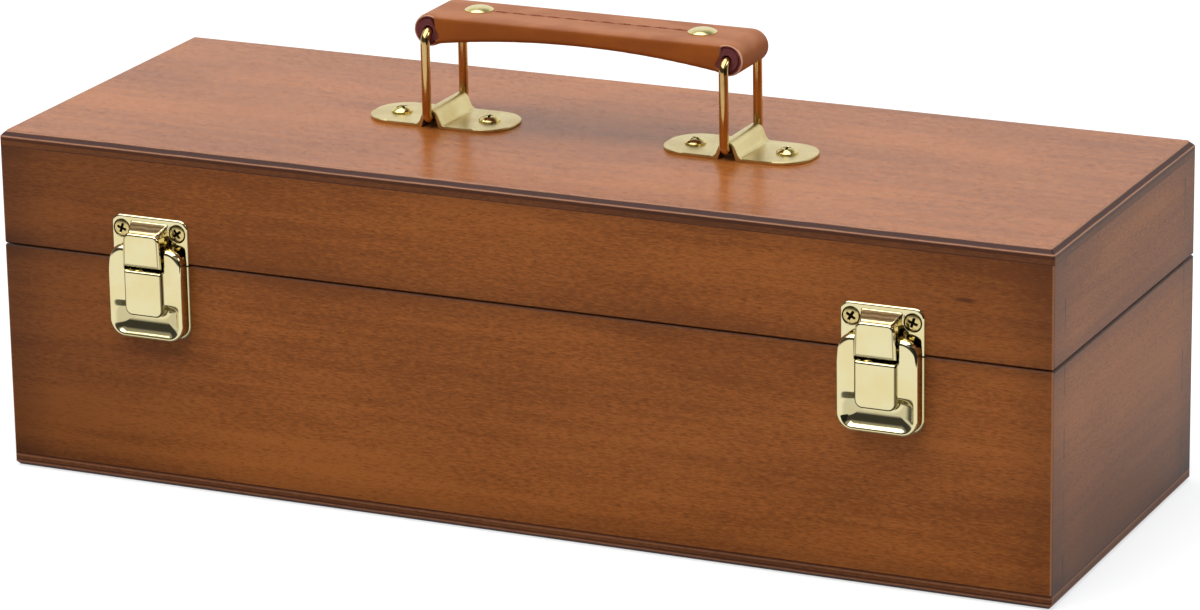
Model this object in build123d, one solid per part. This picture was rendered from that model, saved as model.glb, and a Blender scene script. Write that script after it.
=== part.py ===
from build123d import *
import math
import os

# A wooden storage box for art materials: a finger-jointed base and lid with
# plywood panels, two brass lever latches at the front, two brass stop hinges
# at the back, and a leather carrying handle on two wire loops.
# Millimetres. The origin is the middle of the underside, +X runs along the
# length, -Y is the latch side and +Z is up.

# Box
length = 400.0
width = 144.0
height = 126.0
split_height = 84.0
split_gap = 0.5
front_wall = 11.0
back_wall = 11.0
end_wall = 11.0
bottom_ply = 5.0
top_ply = 5.5
bottom_edge_chamfer = 1.2
top_edge_chamfer = 2.0
corner_radius = 1.0
split_edge_chamfer = 0.4

# Half-blind finger joints: the face lap hides the fingers from the front and the back
face_lap = 2.5
base_front_fingers = 7
base_back_fingers = 5
lid_front_fingers = 3
lid_back_fingers = 3

# Latches: heights are counted up from the split, and depths out from the front face
latch_inset = 60.5
latch_width = 30.4
latch_metal = 1.0
latch_rim_radius = 0.4
latch_top = 16.6
latch_bottom = -28.0
latch_edge_gap = 0.3
strike_corner_radius = 3.6
base_plate_corner_radius = 5.2
strike_screw_x = 11.1
strike_screw_z = 11.5
base_screw_x = 5.0
base_screw_z = -13.5
strike_brow_width = 13.6
strike_hook_low = 4.0
strike_hook_crest = 11.5
strike_hook_top = 14.2
strike_hook_depth = 6.7
strike_hook_metal = 0.9
strike_hook_bevel = 1.2
strike_hook_lean = 0.7
strike_roof_metal = 1.1

# Lever and claw
lever_width = 29.4
lever_bottom = -27.4
lever_depth = 6.0
lever_back_depth = 1.7
lever_metal = 0.9
lever_corner_radius = 6.0
lever_edge_radius = 0.7
lever_pivot_z = 4.3
lever_pivot_depth = 3.7
lever_opening_angle = 95.0
knuckle_radius = 2.3
window_width = 15.8
window_bottom = -1.7
boss_width = 15.2
boss_bottom = -18.6
boss_depth = 7.5
boss_corner_radius = 3.0
boss_edge_radius = 0.8
boss_lip = 1.7
scoop_top = -14.6
scoop_rim = 1.3
scoop_foot = 1.8
scoop_depth = 2.5
scoop_curve = 2.2
claw_pivot_z = 2.2
claw_pivot_depth = 4.6
claw_low = 0.1
claw_top = 12.0
claw_low_width = 15.2
claw_top_width = 14.2
claw_depth = 8.0
claw_metal = 1.0
claw_corner_radius = 1.8
claw_edge_radius = 0.6
claw_cheek_top = 6.5
claw_cheek_spacing = 12.0
hook_clearance = 0.3
claw_eye_radius = 1.5
ear_gap = 0.2
ear_metal = 0.9
ear_foot = -10.0
ear_eye_radius = 1.3
ear_front_angle = -22.0
ear_back_angle = 191.0
latch_pin_radius = 0.7
pin_clearance = 0.05

# Hinges
hinge_inset = 80.0
hinge_width = 32.0
leaf_height = 15.0
leaf_metal = 1.2
leaf_corner_radius = 1.5
hinge_knuckle_radius = 2.2
hinge_pin_radius = 1.1
hinge_wall_clearance = 0.15
knuckle_gap = 0.2
middle_knuckle = 12.0
hinge_screw_x = 10.0
hinge_screw_inset = 5.5
lid_opening_angle = 110.0
stop_length = 5.5
stop_height = 8.0
stop_root_gap = 0.3
stop_clearance = 0.05

# Handle hardware
handle_span = 115.0
loop_wire_radius = 1.7
loop_width = 30.0
loop_corner_radius = 2.7
loop_rise = 32.0
saddle_length = 56.0
saddle_width = 26.0
saddle_metal = 1.2
saddle_end_radius = 11.5
saddle_foot = 10.4
saddle_foot_wall = 1.5
saddle_foot_radius = 2.0
saddle_flank_angle = 22.0
tunnel_clearance = 0.4
tunnel_lift = 1.6
handle_screw_spacing = 34.8

# Leather grip
grip_width = 25.2
leather_thickness = 1.8
core_end_radius = 4.1
core_side_inset = 0.3
core_arch_middle = 1.1
core_arch_ends = 3.5
arch_blend_radius = 5.0
mouth_reach = 3.0
mouth_lean = 23.5
bar_clearance = 0.2
grip_edge_radius = 1.6
rivet_inset = 14.3
rivet_head_radius = 5.2
rivet_head_height = 1.7
rivet_shank_radius = 1.5
rivet_tail_radius = 3.0
rivet_tail_height = 0.8
rivet_tail_bevel = 0.9
rivet_tail_seat = 0.4

# Screws
latch_screw_head = 2.8
latch_screw_radius = 1.2
latch_screw_length = 9.0
hinge_screw_head = 2.5
hinge_screw_radius = 1.1
hinge_screw_length = 8.0
handle_screw_head = 3.9
handle_screw_head_height = 2.0
handle_screw_rim = 0.5
handle_screw_radius = 1.75
handle_screw_tip = 1.0
handle_nut_flats = 7.0
handle_nut_height = 2.8
hole_clearance = 0.05
screw_crown = 0.45
cross_width = 0.9
cross_depth = 1.0
cross_share = 0.62
pan_cross_share = 0.5

# Overshoot of the forms that are cut away, and the tolerance for picking edges
margin = 1.0
tolerance = 0.01

# Places worked out from the sizes above
latch_x = length / 2 - latch_inset
hinge_x = length / 2 - hinge_inset
lever_turn = math.radians(lever_opening_angle)
claw_rise = (claw_pivot_depth - lever_pivot_depth) * math.sin(lever_turn)
claw_rise += (lever_pivot_z - claw_pivot_z) * (1 - math.cos(lever_turn))
strike_brow_low = claw_cheek_top + claw_rise + hook_clearance
front_y = -width / 2
back_y = width / 2
base_top = split_height - split_gap / 2
lid_bottom = split_height + split_gap / 2
top_under = height - top_ply
hinge_y = back_y + hinge_knuckle_radius + hinge_wall_clearance
tunnel_radius = loop_wire_radius + tunnel_clearance
tunnel_outer = tunnel_radius + saddle_metal
bar_z = height + tunnel_lift + tunnel_radius
grip_z = bar_z + loop_rise
grip_top = grip_z + core_end_radius + leather_thickness
grip_under = grip_z - core_end_radius - leather_thickness
rivet_spacing = handle_span - 2 * rivet_inset
core_arch_rise = core_arch_middle + core_arch_ends
core_arch_radius = ((handle_span / 2) ** 2 + core_arch_rise ** 2) / (2 * core_arch_rise)
rivet_drop = core_arch_radius - math.sqrt(core_arch_radius ** 2 - (rivet_spacing / 2) ** 2)
rivet_seat_z = grip_z + core_arch_middle - leather_thickness - rivet_drop + rivet_tail_seat

# Drawing planes at the split: x along the box and y up, seen from the front and from
# behind, and a side view with x pointing out of the front face
FRONT = Plane(origin=(0, front_y, split_height), x_dir=(1, 0, 0), z_dir=(0, -1, 0))
BACK = Plane(origin=(0, back_y, split_height), x_dir=(-1, 0, 0), z_dir=(0, 1, 0))
SIDE = Plane(origin=(0, front_y, split_height), x_dir=(0, -1, 0), z_dir=(-1, 0, 0))
HINGE_SIDE = Plane(origin=(0, hinge_y, split_height), x_dir=(0, 1, 0), z_dir=(1, 0, 0))
LENGTHWISE = Plane(origin=(0, 0, 0), x_dir=(1, 0, 0), z_dir=(0, -1, 0))


def block(x_low, x_high, y_low, y_high, z_low, z_high):
    """A box between two corners."""
    size = (x_high - x_low, y_high - y_low, z_high - z_low)
    middle = ((x_low + x_high) / 2, (y_low + y_high) / 2, (z_low + z_high) / 2)
    return Pos(*middle) * Box(*size)


def outline(*points):
    """A flat face through the points, where they are."""
    return make_face(Polyline(*points, close=True))


def side_slab(x_low, x_high, face):
    """A plate drawn in the latch side view and filling a stretch of x."""
    plane = SIDE.offset(-x_high)
    return extrude(plane * face, x_high - x_low)


def side_disc(x_low, x_high, out, z, radius):
    """A round bar across the latch, between two places along x."""
    return side_slab(x_low, x_high, Pos(out, z) * Circle(radius))


def rim_point(x, y, radius, angle):
    """The point on a circle's rim at an angle, in degrees, from the drawing's x."""
    turn = math.radians(angle)
    return (x + radius * math.cos(turn), y + radius * math.sin(turn))


def dome(radius, low, high):
    """The arc of a domed head, from its rim to the middle of its top, where it is level."""
    rise = high - low
    curve = (radius ** 2 + rise ** 2) / (2 * rise)
    turn = math.asin(radius / curve) / 2
    middle = (curve * math.sin(turn), high - curve * (1 - math.cos(turn)))
    return ThreePointArc((0, high), middle, (radius, low))


def rectangle(x_low, x_high, y_low, y_high):
    """A flat rectangle between two corners."""
    return Pos((x_low + x_high) / 2, (y_low + y_high) / 2) * Rectangle(x_high - x_low, y_high - y_low)


def rounded(x_low, x_high, y_low, y_high, radius):
    """A flat rectangle with rounded corners, between two corners."""
    middle = Pos((x_low + x_high) / 2, (y_low + y_high) / 2)
    return middle * RectangleRounded(x_high - x_low, y_high - y_low, radius)


def both_sides(shape):
    """The shape and its mirror image across the middle of the box."""
    return [shape, mirror(shape, about=Plane.YZ)]


def finger_levels(low, high, count):
    """The heights between the fingers of a corner joint."""
    return [low + (high - low) * step / count for step in range(count + 1)]


def face_panel(side, wall, low, high, fingers, own_first):
    """A front (side -1) or back (side +1) panel with sockets for the fingers of the ends."""
    outer = side * width / 2
    inner = outer - side * wall
    lap = outer - side * face_lap
    panel = block(-length / 2, length / 2, min(outer, inner), max(outer, inner), low, high)
    corners = [edge for edge in panel.edges().filter_by(Axis.Z) if abs(edge.center().Y - outer) < tolerance]
    panel = fillet(corners, corner_radius)
    levels = finger_levels(low, high, fingers)
    for step in range(1 if own_first else 0, fingers, 2):
        for x_low in (-length / 2, length / 2 - end_wall):
            y_low, y_high = min(lap, inner), max(lap, inner)
            panel -= block(x_low, x_low + end_wall, y_low, y_high, levels[step], levels[step + 1])
    return panel


def end_panel(side, low, high, front_fingers, back_fingers, front_first, back_first):
    """A left (side -1) or right (side +1) end with the fingers that fill the sockets."""
    outer = side * length / 2
    inner = outer - side * end_wall
    x_low, x_high = min(outer, inner), max(outer, inner)
    panel = block(x_low, x_high, front_y + front_wall, back_y - back_wall, low, high)
    joints = (
        (front_y + face_lap, front_y + front_wall, front_fingers, front_first),
        (back_y - back_wall, back_y - face_lap, back_fingers, back_first),
    )
    for y_low, y_high, fingers, face_first in joints:
        levels = finger_levels(low, high, fingers)
        for step in range(1 if face_first else 0, fingers, 2):
            panel += block(x_low, x_high, y_low, y_high, levels[step], levels[step + 1])
    return panel


def ease_split(panel, level):
    """Break the outside edges of a wall panel along the split between base and lid."""
    long_edges = []
    for edge in panel.edges():
        place = edge.center()
        flat = abs(place.Z - level) < tolerance and edge.length > width / 2
        outside = abs(abs(place.Y) - width / 2) < tolerance or abs(abs(place.X) - length / 2) < tolerance
        if flat and outside:
            long_edges.append(edge)
    return chamfer(long_edges, split_edge_chamfer)


def ply_panel(low, high, bevel, bevel_on_top):
    """A plywood panel the size of the box, with rounded corners and one bevelled rim."""
    full = rounded(-length / 2, length / 2, -width / 2, width / 2, corner_radius)
    x_rim, y_rim = length / 2 - bevel, width / 2 - bevel
    rim = rounded(-x_rim, x_rim, -y_rim, y_rim, corner_radius / 2)
    start, end = (low, high - bevel) if bevel_on_top else (low + bevel, high)
    rim_level = high if bevel_on_top else low
    panel = extrude(Pos(0, 0, start) * full, end - start)
    joint_level = end if bevel_on_top else start
    return panel + loft([Pos(0, 0, joint_level) * full, Pos(0, 0, rim_level) * rim], ruled=True)


def pilot(spot, head_radius, shank_radius, screw_length, metal):
    """The countersunk blind hole in the wood for a screw that holds a plate."""
    face = spot * Pos(0, 0, metal)
    hole = extrude(face * Circle(shank_radius + hole_clearance), -screw_length)
    return hole + face * countersink(head_radius, shank_radius, metal)


def cross_recess(head_radius, share, top):
    """The cross-shaped driver recess in a screw head."""
    reach = 2 * head_radius * share
    depth = cross_depth + margin
    arms = Box(reach, cross_width, depth) + Box(cross_width, reach, depth)
    return Pos(0, 0, top - cross_depth + depth / 2) * arms


def countersunk_screw(head_radius, shank_radius, screw_length):
    """A wood screw with its head's rim at z = 0, pointing down."""
    cone = head_radius - shank_radius
    crown = dome(head_radius, 0, screw_crown)
    rest = Polyline(
        (head_radius, 0),
        (shank_radius, -cone),
        (shank_radius, -screw_length + 2 * shank_radius),
        (0, -screw_length),
        (0, screw_crown),
    )
    body = revolve(Plane.XZ * make_face([crown, rest]), Axis.Z)
    return body - cross_recess(head_radius, cross_share, screw_crown)


def countersink(head_radius, shank_radius, metal):
    """The hole that a countersunk screw needs through a plate whose face is z = 0."""
    head = head_radius + hole_clearance
    shank = shank_radius + hole_clearance
    cone = head - shank
    through = Pos(0, 0, -metal / 2) * Cylinder(shank, 3 * metal)
    return through + Pos(0, 0, -cone / 2) * Cone(shank, head, cone)


def pan_screw():
    """A machine screw of the handle, with the head's underside at z = 0."""
    crown = dome(handle_screw_head, handle_screw_rim, handle_screw_head_height)
    tip = -(saddle_metal + top_ply + handle_nut_height + handle_screw_tip)
    rest = Polyline(
        (handle_screw_head, handle_screw_rim),
        (handle_screw_head, 0),
        (handle_screw_radius, 0),
        (handle_screw_radius, tip),
        (0, tip),
        (0, handle_screw_head_height),
    )
    body = revolve(Plane.XZ * make_face([crown, rest]), Axis.Z)
    return body - cross_recess(handle_screw_head, pan_cross_share, handle_screw_head_height)


def strike_screw_places():
    """Where the screws of a strike plate stand on the front face."""
    return [(side * strike_screw_x, strike_screw_z) for side in (-1, 1)]


def base_screw_places():
    """Where the screws of a latch's base plate stand on the front face."""
    return [(side * base_screw_x, base_screw_z) for side in (-1, 1)]


def latch_plate(low, high, screws, corner_radius, round_top):
    """The flat plate shared by the strike and the base plate, with its screw holes."""
    face = rectangle(-latch_width / 2, latch_width / 2, low, high)
    level = high if round_top else low
    corners = [corner for corner in face.vertices() if abs(corner.Y - level) < tolerance]
    face = fillet(corners, corner_radius)
    plate = extrude(FRONT * face, latch_metal)
    rim = plate.faces().sort_by(Axis.Y)[0].edges()
    split_side = [edge for edge in rim if abs(edge.center().Z - split_height) < latch_edge_gap + tolerance]
    plate = fillet([edge for edge in rim if edge not in split_side], latch_rim_radius)
    top = FRONT.offset(latch_metal)
    for x, z in screws:
        plate -= top * (Pos(x, z) * countersink(latch_screw_head, latch_screw_radius, latch_metal))
    return plate


def strike_plate():
    """The lid's half of a latch: a plate with a pressed hook that the claw closes over."""
    plate = latch_plate(
        latch_edge_gap, latch_top, strike_screw_places(), strike_corner_radius, True
    )
    half = claw_cheek_spacing / 2 - hook_clearance
    brow = strike_brow_width / 2
    steepness = (strike_hook_top - strike_hook_crest) / (strike_hook_depth - latch_metal)
    roof = [
        (strike_hook_depth, strike_hook_crest),
        (latch_metal, strike_hook_top),
        (0, strike_hook_top),
    ]
    hook = side_slab(-brow, brow, outline((0, strike_brow_low), (strike_hook_depth, strike_brow_low), *roof))
    hips = [edge for edge in hook.edges() if edge.center().Z > split_height + strike_hook_crest
            and abs(abs(edge.center().X) - brow) < tolerance and edge.center().Y < front_y - latch_metal]
    hook = chamfer(hips, strike_hook_bevel)
    hook += side_slab(-half, half, outline(
        (0, strike_hook_low),
        (latch_metal, strike_hook_low),
        (strike_hook_depth, strike_hook_low + strike_hook_lean),
        (strike_hook_depth, strike_hook_crest - strike_hook_metal),
        (0, strike_hook_crest - strike_hook_metal),
    ))
    metal = strike_hook_metal
    inner = half - metal
    hollow = side_slab(-inner, inner, outline(
        (-tolerance, strike_hook_low + metal),
        (strike_hook_depth - metal, strike_hook_low + strike_hook_lean + metal),
        (strike_hook_depth - metal, strike_hook_crest + metal * steepness - strike_roof_metal),
        (latch_metal, strike_hook_top - strike_roof_metal),
        (-tolerance, strike_hook_top - strike_roof_metal),
    ))
    return plate + hook - hollow


def base_ear_face():
    """The side view of an ear that rises from the base plate to the lever's pivot."""
    foot = outline(
        (latch_metal / 2, ear_foot),
        (latch_metal, ear_foot),
        rim_point(lever_pivot_depth, lever_pivot_z, ear_eye_radius, ear_front_angle),
        rim_point(lever_pivot_depth, lever_pivot_z, ear_eye_radius, ear_back_angle),
        (latch_metal, -latch_edge_gap - ear_eye_radius / 4),
        (latch_metal / 2, -latch_edge_gap - ear_eye_radius / 4),
    )
    eye = Pos(lever_pivot_depth, lever_pivot_z) * Circle(ear_eye_radius)
    hole = Pos(lever_pivot_depth, lever_pivot_z) * Circle(latch_pin_radius + pin_clearance)
    return foot + eye - hole


def ear_places():
    """Stretches of x for the claw cheek, the lever's inner ear, the base ear and the lever's cheek."""
    inner_ear = window_width / 2
    base_ear = inner_ear + ear_metal + ear_gap
    outer_ear = base_ear + ear_metal + ear_gap
    return claw_cheek_spacing / 2, inner_ear, base_ear, outer_ear


def latch_base_plate():
    """The base's half of a latch: a plate with two ears for the lever's pivot."""
    plate = latch_plate(
        latch_bottom, -latch_edge_gap, base_screw_places(), base_plate_corner_radius, False
    )
    ear_x = ear_places()[2]
    ear = side_slab(ear_x, ear_x + ear_metal, base_ear_face())
    for one in both_sides(ear):
        plate += one
    return plate


def lever_shell():
    """The lever's pressed cover: flat rails, side walls and the hollow behind them."""
    half = lever_width / 2
    top = lever_pivot_z
    metal = lever_metal
    cover = rectangle(-half, half, lever_bottom, top)
    body = extrude(FRONT.offset(lever_back_depth) * cover, lever_depth - lever_back_depth)
    inside = rectangle(-half + metal, half - metal, scoop_top, top + margin)
    behind = FRONT.offset(lever_back_depth - margin)
    body -= extrude(behind * inside, lever_depth - metal - lever_back_depth + margin)
    under = rounded(-half + metal, half - metal, lever_bottom + metal, scoop_top + metal,
                    lever_corner_radius - metal)
    depth = lever_depth - scoop_depth - metal
    body -= extrude(behind * under, depth - lever_back_depth + margin)
    outer_ear = ear_places()[3]
    curl = side_disc(outer_ear, half, lever_pivot_depth, lever_pivot_z, knuckle_radius)
    rim = outer_ear + ear_metal
    curl -= side_disc(rim, half + margin, lever_pivot_depth, lever_pivot_z, knuckle_radius - metal)
    below = outline(
        (lever_pivot_depth - knuckle_radius - margin, lever_pivot_z - knuckle_radius - margin),
        (lever_pivot_depth, lever_pivot_z - knuckle_radius - margin),
        (lever_pivot_depth, lever_pivot_z),
        (lever_pivot_depth - knuckle_radius - margin, lever_pivot_z + knuckle_radius / 3),
    )
    curl -= side_slab(rim, half + margin, below)
    for one in both_sides(curl):
        body += one
    window = rectangle(-window_width / 2, window_width / 2, window_bottom, top + knuckle_radius + margin)
    return body - extrude(FRONT * window, lever_depth + margin)


def lever_shoulders():
    """The rails' rolled tops beside the window, which pass over the base plate's ears."""
    roll = Circle(knuckle_radius) - Circle(knuckle_radius - lever_metal)
    quarter = roll & rectangle(0, knuckle_radius, 0, knuckle_radius)
    face = Pos(lever_pivot_depth, lever_pivot_z) * quarter
    return both_sides(side_slab(window_width / 2, ear_places()[3], face))


def lever_boss():
    """The raised, hollow tongue in the middle of the lever, with a lip at its top."""
    half = boss_width / 2
    face = rectangle(-half, half, boss_bottom, window_bottom)
    low = [corner for corner in face.vertices() if abs(corner.Y - boss_bottom) < tolerance]
    boss = extrude(FRONT.offset(lever_depth - lever_metal) * fillet(low, boss_corner_radius),
                   boss_depth - lever_depth + lever_metal)
    front = boss.faces().sort_by(Axis.Y)[0]
    boss = fillet(front.edges(), boss_edge_radius)
    inner_half = half - lever_metal
    inner_bottom = boss_bottom + lever_metal
    lip_low = window_bottom - boss_lip
    inner = rectangle(-inner_half, inner_half, inner_bottom, lip_low)
    low = [corner for corner in inner.vertices() if abs(corner.Y - inner_bottom) < tolerance]
    hollow = extrude(FRONT * fillet(low, boss_corner_radius - lever_metal), boss_depth - lever_metal)
    behind_lip = rectangle(-inner_half, inner_half, lip_low - tolerance, window_bottom + margin)
    hollow += extrude(FRONT * behind_lip, lever_depth - lever_metal)
    return boss, hollow


def lever_scoop():
    """The dished thumb rest at the lever's lower end, as the form that is cut away."""
    half = lever_width / 2 - scoop_rim
    low = lever_bottom + scoop_foot
    reach = rounded(-half, half, low, scoop_top, lever_corner_radius - scoop_rim)
    dish = extrude(FRONT.offset(lever_depth - scoop_depth) * reach, scoop_depth + margin)
    return fillet(dish.faces().sort_by(Axis.Y)[-1].edges(), scoop_curve)


def lever():
    """The lever of a latch, hanging from its pivot at the top."""
    boss, hollow = lever_boss()
    body = lever_shell()
    half = lever_width / 2
    lowest = split_height + lever_bottom
    front = [edge for edge in body.faces().sort_by(Axis.Y)[0].outer_wire().edges()
             if abs(abs(edge.center().X) - half) < tolerance or abs(edge.center().Z - lowest) < tolerance]
    body = fillet(front, lever_edge_radius)
    body -= lever_scoop()
    body = body + boss - hollow
    for one in lever_shoulders():
        body += one
    top = lever_pivot_z + knuckle_radius
    cover = extrude(FRONT * rounded(-half, half, lever_bottom, top, lever_corner_radius), boss_depth + margin)
    body = body & cover
    inner_ear = ear_places()[1]
    ear = side_slab(inner_ear, inner_ear + ear_metal, outline(
        (claw_pivot_depth - claw_eye_radius, claw_pivot_z - claw_eye_radius),
        (lever_depth - lever_metal / 2, window_bottom + lever_metal),
        (lever_depth - lever_metal / 2, lever_pivot_z),
        (claw_pivot_depth - claw_eye_radius, lever_pivot_z),
    ))
    hole = side_disc(inner_ear - margin, inner_ear + ear_metal + ear_gap / 2, claw_pivot_depth, claw_pivot_z,
                     latch_pin_radius + hole_clearance)
    outer_ear = ear_places()[3]
    socket = side_disc(outer_ear - ear_gap / 2, outer_ear + ear_metal + margin, lever_pivot_depth,
                       lever_pivot_z, latch_pin_radius + hole_clearance)
    for one in both_sides(ear):
        body += one
    for one in both_sides(hole) + both_sides(socket):
        body -= one
    return body


def lever_pins():
    """The two short pins that hang the lever on the base plate's ears."""
    base_ear, outer_ear = ear_places()[2:]
    x_low, x_high = base_ear - ear_gap / 2, outer_ear + ear_metal
    pin = side_disc(x_low, x_high, lever_pivot_depth, lever_pivot_z, latch_pin_radius)
    return both_sides(pin)


def claw_pins():
    """The two short pins that carry the claw's cheeks in the lever's inner ears."""
    cheek, inner_ear = ear_places()[:2]
    pin = side_disc(cheek, inner_ear + ear_metal, claw_pivot_depth, claw_pivot_z, latch_pin_radius)
    return both_sides(pin)


def claw():
    """The claw: a square cap that covers the strike's hook, with two cheeks on their pins."""
    face = outline(
        (-claw_low_width / 2, claw_low),
        (claw_low_width / 2, claw_low),
        (claw_top_width / 2, claw_top),
        (-claw_top_width / 2, claw_top),
    )
    high = [corner for corner in face.vertices() if abs(corner.Y - claw_top) < tolerance]
    cap = extrude(FRONT.offset(claw_depth - claw_metal) * fillet(high, claw_corner_radius), claw_metal)
    front = cap.faces().sort_by(Axis.Y)[0]
    cap = fillet(front.edges(), claw_edge_radius)
    cheek_x = ear_places()[0]
    eye = Pos(claw_pivot_depth, claw_pivot_z) * Circle(claw_eye_radius)
    web = outline(
        (claw_pivot_depth, claw_pivot_z - claw_eye_radius),
        (claw_depth - claw_metal / 2, claw_low + claw_metal / 2),
        (claw_depth - claw_metal / 2, claw_cheek_top),
        (claw_depth - 2 * claw_metal, claw_cheek_top),
        rim_point(claw_pivot_depth, claw_pivot_z, claw_eye_radius, 135),
    )
    hole = Pos(claw_pivot_depth, claw_pivot_z) * Circle(latch_pin_radius + pin_clearance)
    cheek = side_slab(cheek_x, cheek_x + ear_metal, web + eye - hole)
    for one in both_sides(cheek):
        cap += one
    return cap


def hinge_leaf(upper):
    """One leaf of a hinge on the back face; the base leaf has two knuckles and the stop lugs."""
    half = hinge_width / 2
    sign = 1 if upper else -1
    far = sign * leaf_height
    near = sign * (hinge_knuckle_radius + knuckle_gap)
    face = rectangle(-half, half, min(far, near), max(far, near))
    corners = [corner for corner in face.vertices() if abs(corner.Y - far) < tolerance]
    plate = extrude(BACK * fillet(corners, leaf_corner_radius), leaf_metal)
    bound = middle_knuckle / 2
    spans = [(-bound, bound)] if upper else [(-half, -bound - knuckle_gap), (bound + knuckle_gap, half)]
    hole = HINGE_SIDE * Circle(hinge_pin_radius + (pin_clearance if upper else hole_clearance))
    bore = extrude(hole, half + margin, both=True)
    for x_low, x_high in spans:
        knuckle = extrude(HINGE_SIDE.offset(x_low) * Circle(hinge_knuckle_radius), x_high - x_low)
        bridge = extrude(BACK * rectangle(x_low, x_high, min(near, 0), max(near, 0)), leaf_metal)
        plate += knuckle + bridge
    if not upper:
        for x_low in (-half, half - leaf_metal):
            plate += extrude(HINGE_SIDE.offset(x_low) * stop_lug_face(), leaf_metal)
    plate -= bore
    place = BACK.offset(leaf_metal)
    for x, z in hinge_screw_places(upper):
        plate -= place * (Pos(x, z) * countersink(hinge_screw_head, hinge_screw_radius, leaf_metal))
    return plate


def stop_lug_face():
    """The lug that stops the lid: its top edge lies under the lid leaf at the full opening angle."""
    angle = math.radians(lid_opening_angle)
    leaf_face = leaf_metal - hinge_knuckle_radius - hinge_wall_clearance + stop_clearance
    lean_y, lean_z = math.cos(angle), -math.sin(angle)

    def top(y):
        return (leaf_face - lean_y * y) / lean_z

    start = hinge_knuckle_radius - stop_root_gap
    return outline(
        (leaf_metal / 2 - hinge_knuckle_radius - hinge_wall_clearance, -stop_height),
        (stop_length, top(stop_length) - 2 * leaf_metal),
        (stop_length, top(stop_length)),
        (start, top(start)),
        (0, -start),
        (leaf_metal / 2 - hinge_knuckle_radius - hinge_wall_clearance, -hinge_knuckle_radius),
    )


def hinge_screw_places(upper):
    """Where the screws of a leaf stand on the back face."""
    z = (1 if upper else -1) * (leaf_height - hinge_screw_inset)
    return [(-hinge_screw_x, z), (hinge_screw_x, z)]


def hinge_pin():
    """The pin of a hinge."""
    return extrude(HINGE_SIDE * Circle(hinge_pin_radius), hinge_width / 2, both=True)


def tunnel_section(foot, low, radius):
    """The side view of a tunnel: straight flanks that rise from its foot to a round top."""
    flanks = outline(
        (-foot, low),
        (foot, low),
        rim_point(0, bar_z, radius, saddle_flank_angle),
        rim_point(0, bar_z, radius, 180 - saddle_flank_angle),
    )
    return flanks + Pos(0, bar_z) * Circle(radius)


def saddle_plate():
    """A handle plate: two flat wings and a tunnel over the loop's lower bar."""
    wings = RectangleRounded(saddle_length, saddle_width, saddle_end_radius)
    plate = extrude(Pos(0, 0, height) * wings, saddle_metal)
    hump = tunnel_section(saddle_foot / 2, height, tunnel_outer)
    cavity = tunnel_section(saddle_foot / 2 - saddle_foot_wall, height - margin, tunnel_radius)
    plate += extrude(LENGTHWISE * hump, saddle_width / 2, both=True)
    plate -= extrude(LENGTHWISE * cavity, saddle_width, both=True)
    top = height + saddle_metal
    feet = [edge for edge in plate.edges().filter_by(Axis.Y)
            if abs(edge.center().Z - top) < tolerance and edge.length > saddle_width - 2 * tolerance]
    plate = fillet(feet, saddle_foot_radius)
    for x in (-handle_screw_spacing / 2, handle_screw_spacing / 2):
        plate -= Pos(x, 0, height) * Cylinder(handle_screw_radius + hole_clearance, 4 * saddle_metal)
    return plate


def wire_loop():
    """A rectangular loop of brass wire that joins a handle plate to the grip."""
    frame = Plane.YZ * (Pos(0, bar_z + loop_rise / 2)
                        * RectangleRounded(loop_width, loop_rise, loop_corner_radius))
    path = frame.face().outer_wire()
    section = Plane(origin=path @ 0, z_dir=path % 0) * Circle(loop_wire_radius)
    return sweep(section, path=path)


def grip_profile(end_radius, middle, ends):
    """The lengthwise outline of the grip: a flat top, round ends and an arched underside."""
    far = handle_span / 2
    top = grip_z + end_radius
    arch = ThreePointArc((far, grip_z - ends), (0, grip_z + middle), (-far, grip_z - ends))
    rest = Polyline((-far, grip_z - ends), (-far, top), (far, top), (far, grip_z - ends))
    face = make_face([arch, rest])
    for x in (-far, far):
        face += Pos(x, grip_z) * Circle(end_radius)
    joins = [corner for corner in face.vertices() if corner.Y < grip_z - tolerance]
    return fillet(joins, arch_blend_radius)


def mouths():
    """The lengthwise outlines of the mouths, whose inner edges lean towards the grip's ends."""
    reach = 2 * core_end_radius
    lean = reach * math.tan(math.radians(mouth_lean))
    faces = []
    for side in (-1, 1):
        bar = side * handle_span / 2
        faces.append(outline(
            (bar - side * (mouth_reach + lean), grip_z - reach),
            (bar + side * reach, grip_z - reach),
            (bar + side * reach, grip_z + reach),
            (bar - side * (mouth_reach - lean), grip_z + reach),
        ))
    return faces


def grip_core_form():
    """The grip's inner strap before its bar holes: full width at the mouths, narrower between."""
    profile = grip_profile(core_end_radius, core_arch_middle, core_arch_ends)
    half = grip_width / 2
    body = extrude(LENGTHWISE * profile, half - leather_thickness, both=True)
    for mouth in mouths():
        body += extrude(LENGTHWISE * (profile & mouth), half - core_side_inset, both=True)
    return body


def rivet_holes():
    """The two holes for the rivets through the grip."""
    middle = (grip_under + grip_top) / 2
    return [Pos(side * rivet_spacing / 2, 0, middle)
            * Cylinder(rivet_shank_radius + hole_clearance, 2 * (grip_top - grip_under))
            for side in (-1, 1)]


def grip_core():
    """The inner strap of the grip, with a hole at each end for a loop's upper bar."""
    core = grip_core_form()
    for side in (-1, 1):
        bar = Pos(side * handle_span / 2, grip_z) * Circle(loop_wire_radius + bar_clearance)
        core -= extrude(LENGTHWISE * bar, grip_width, both=True)
    for hole in rivet_holes():
        core -= hole
    return core


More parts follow.
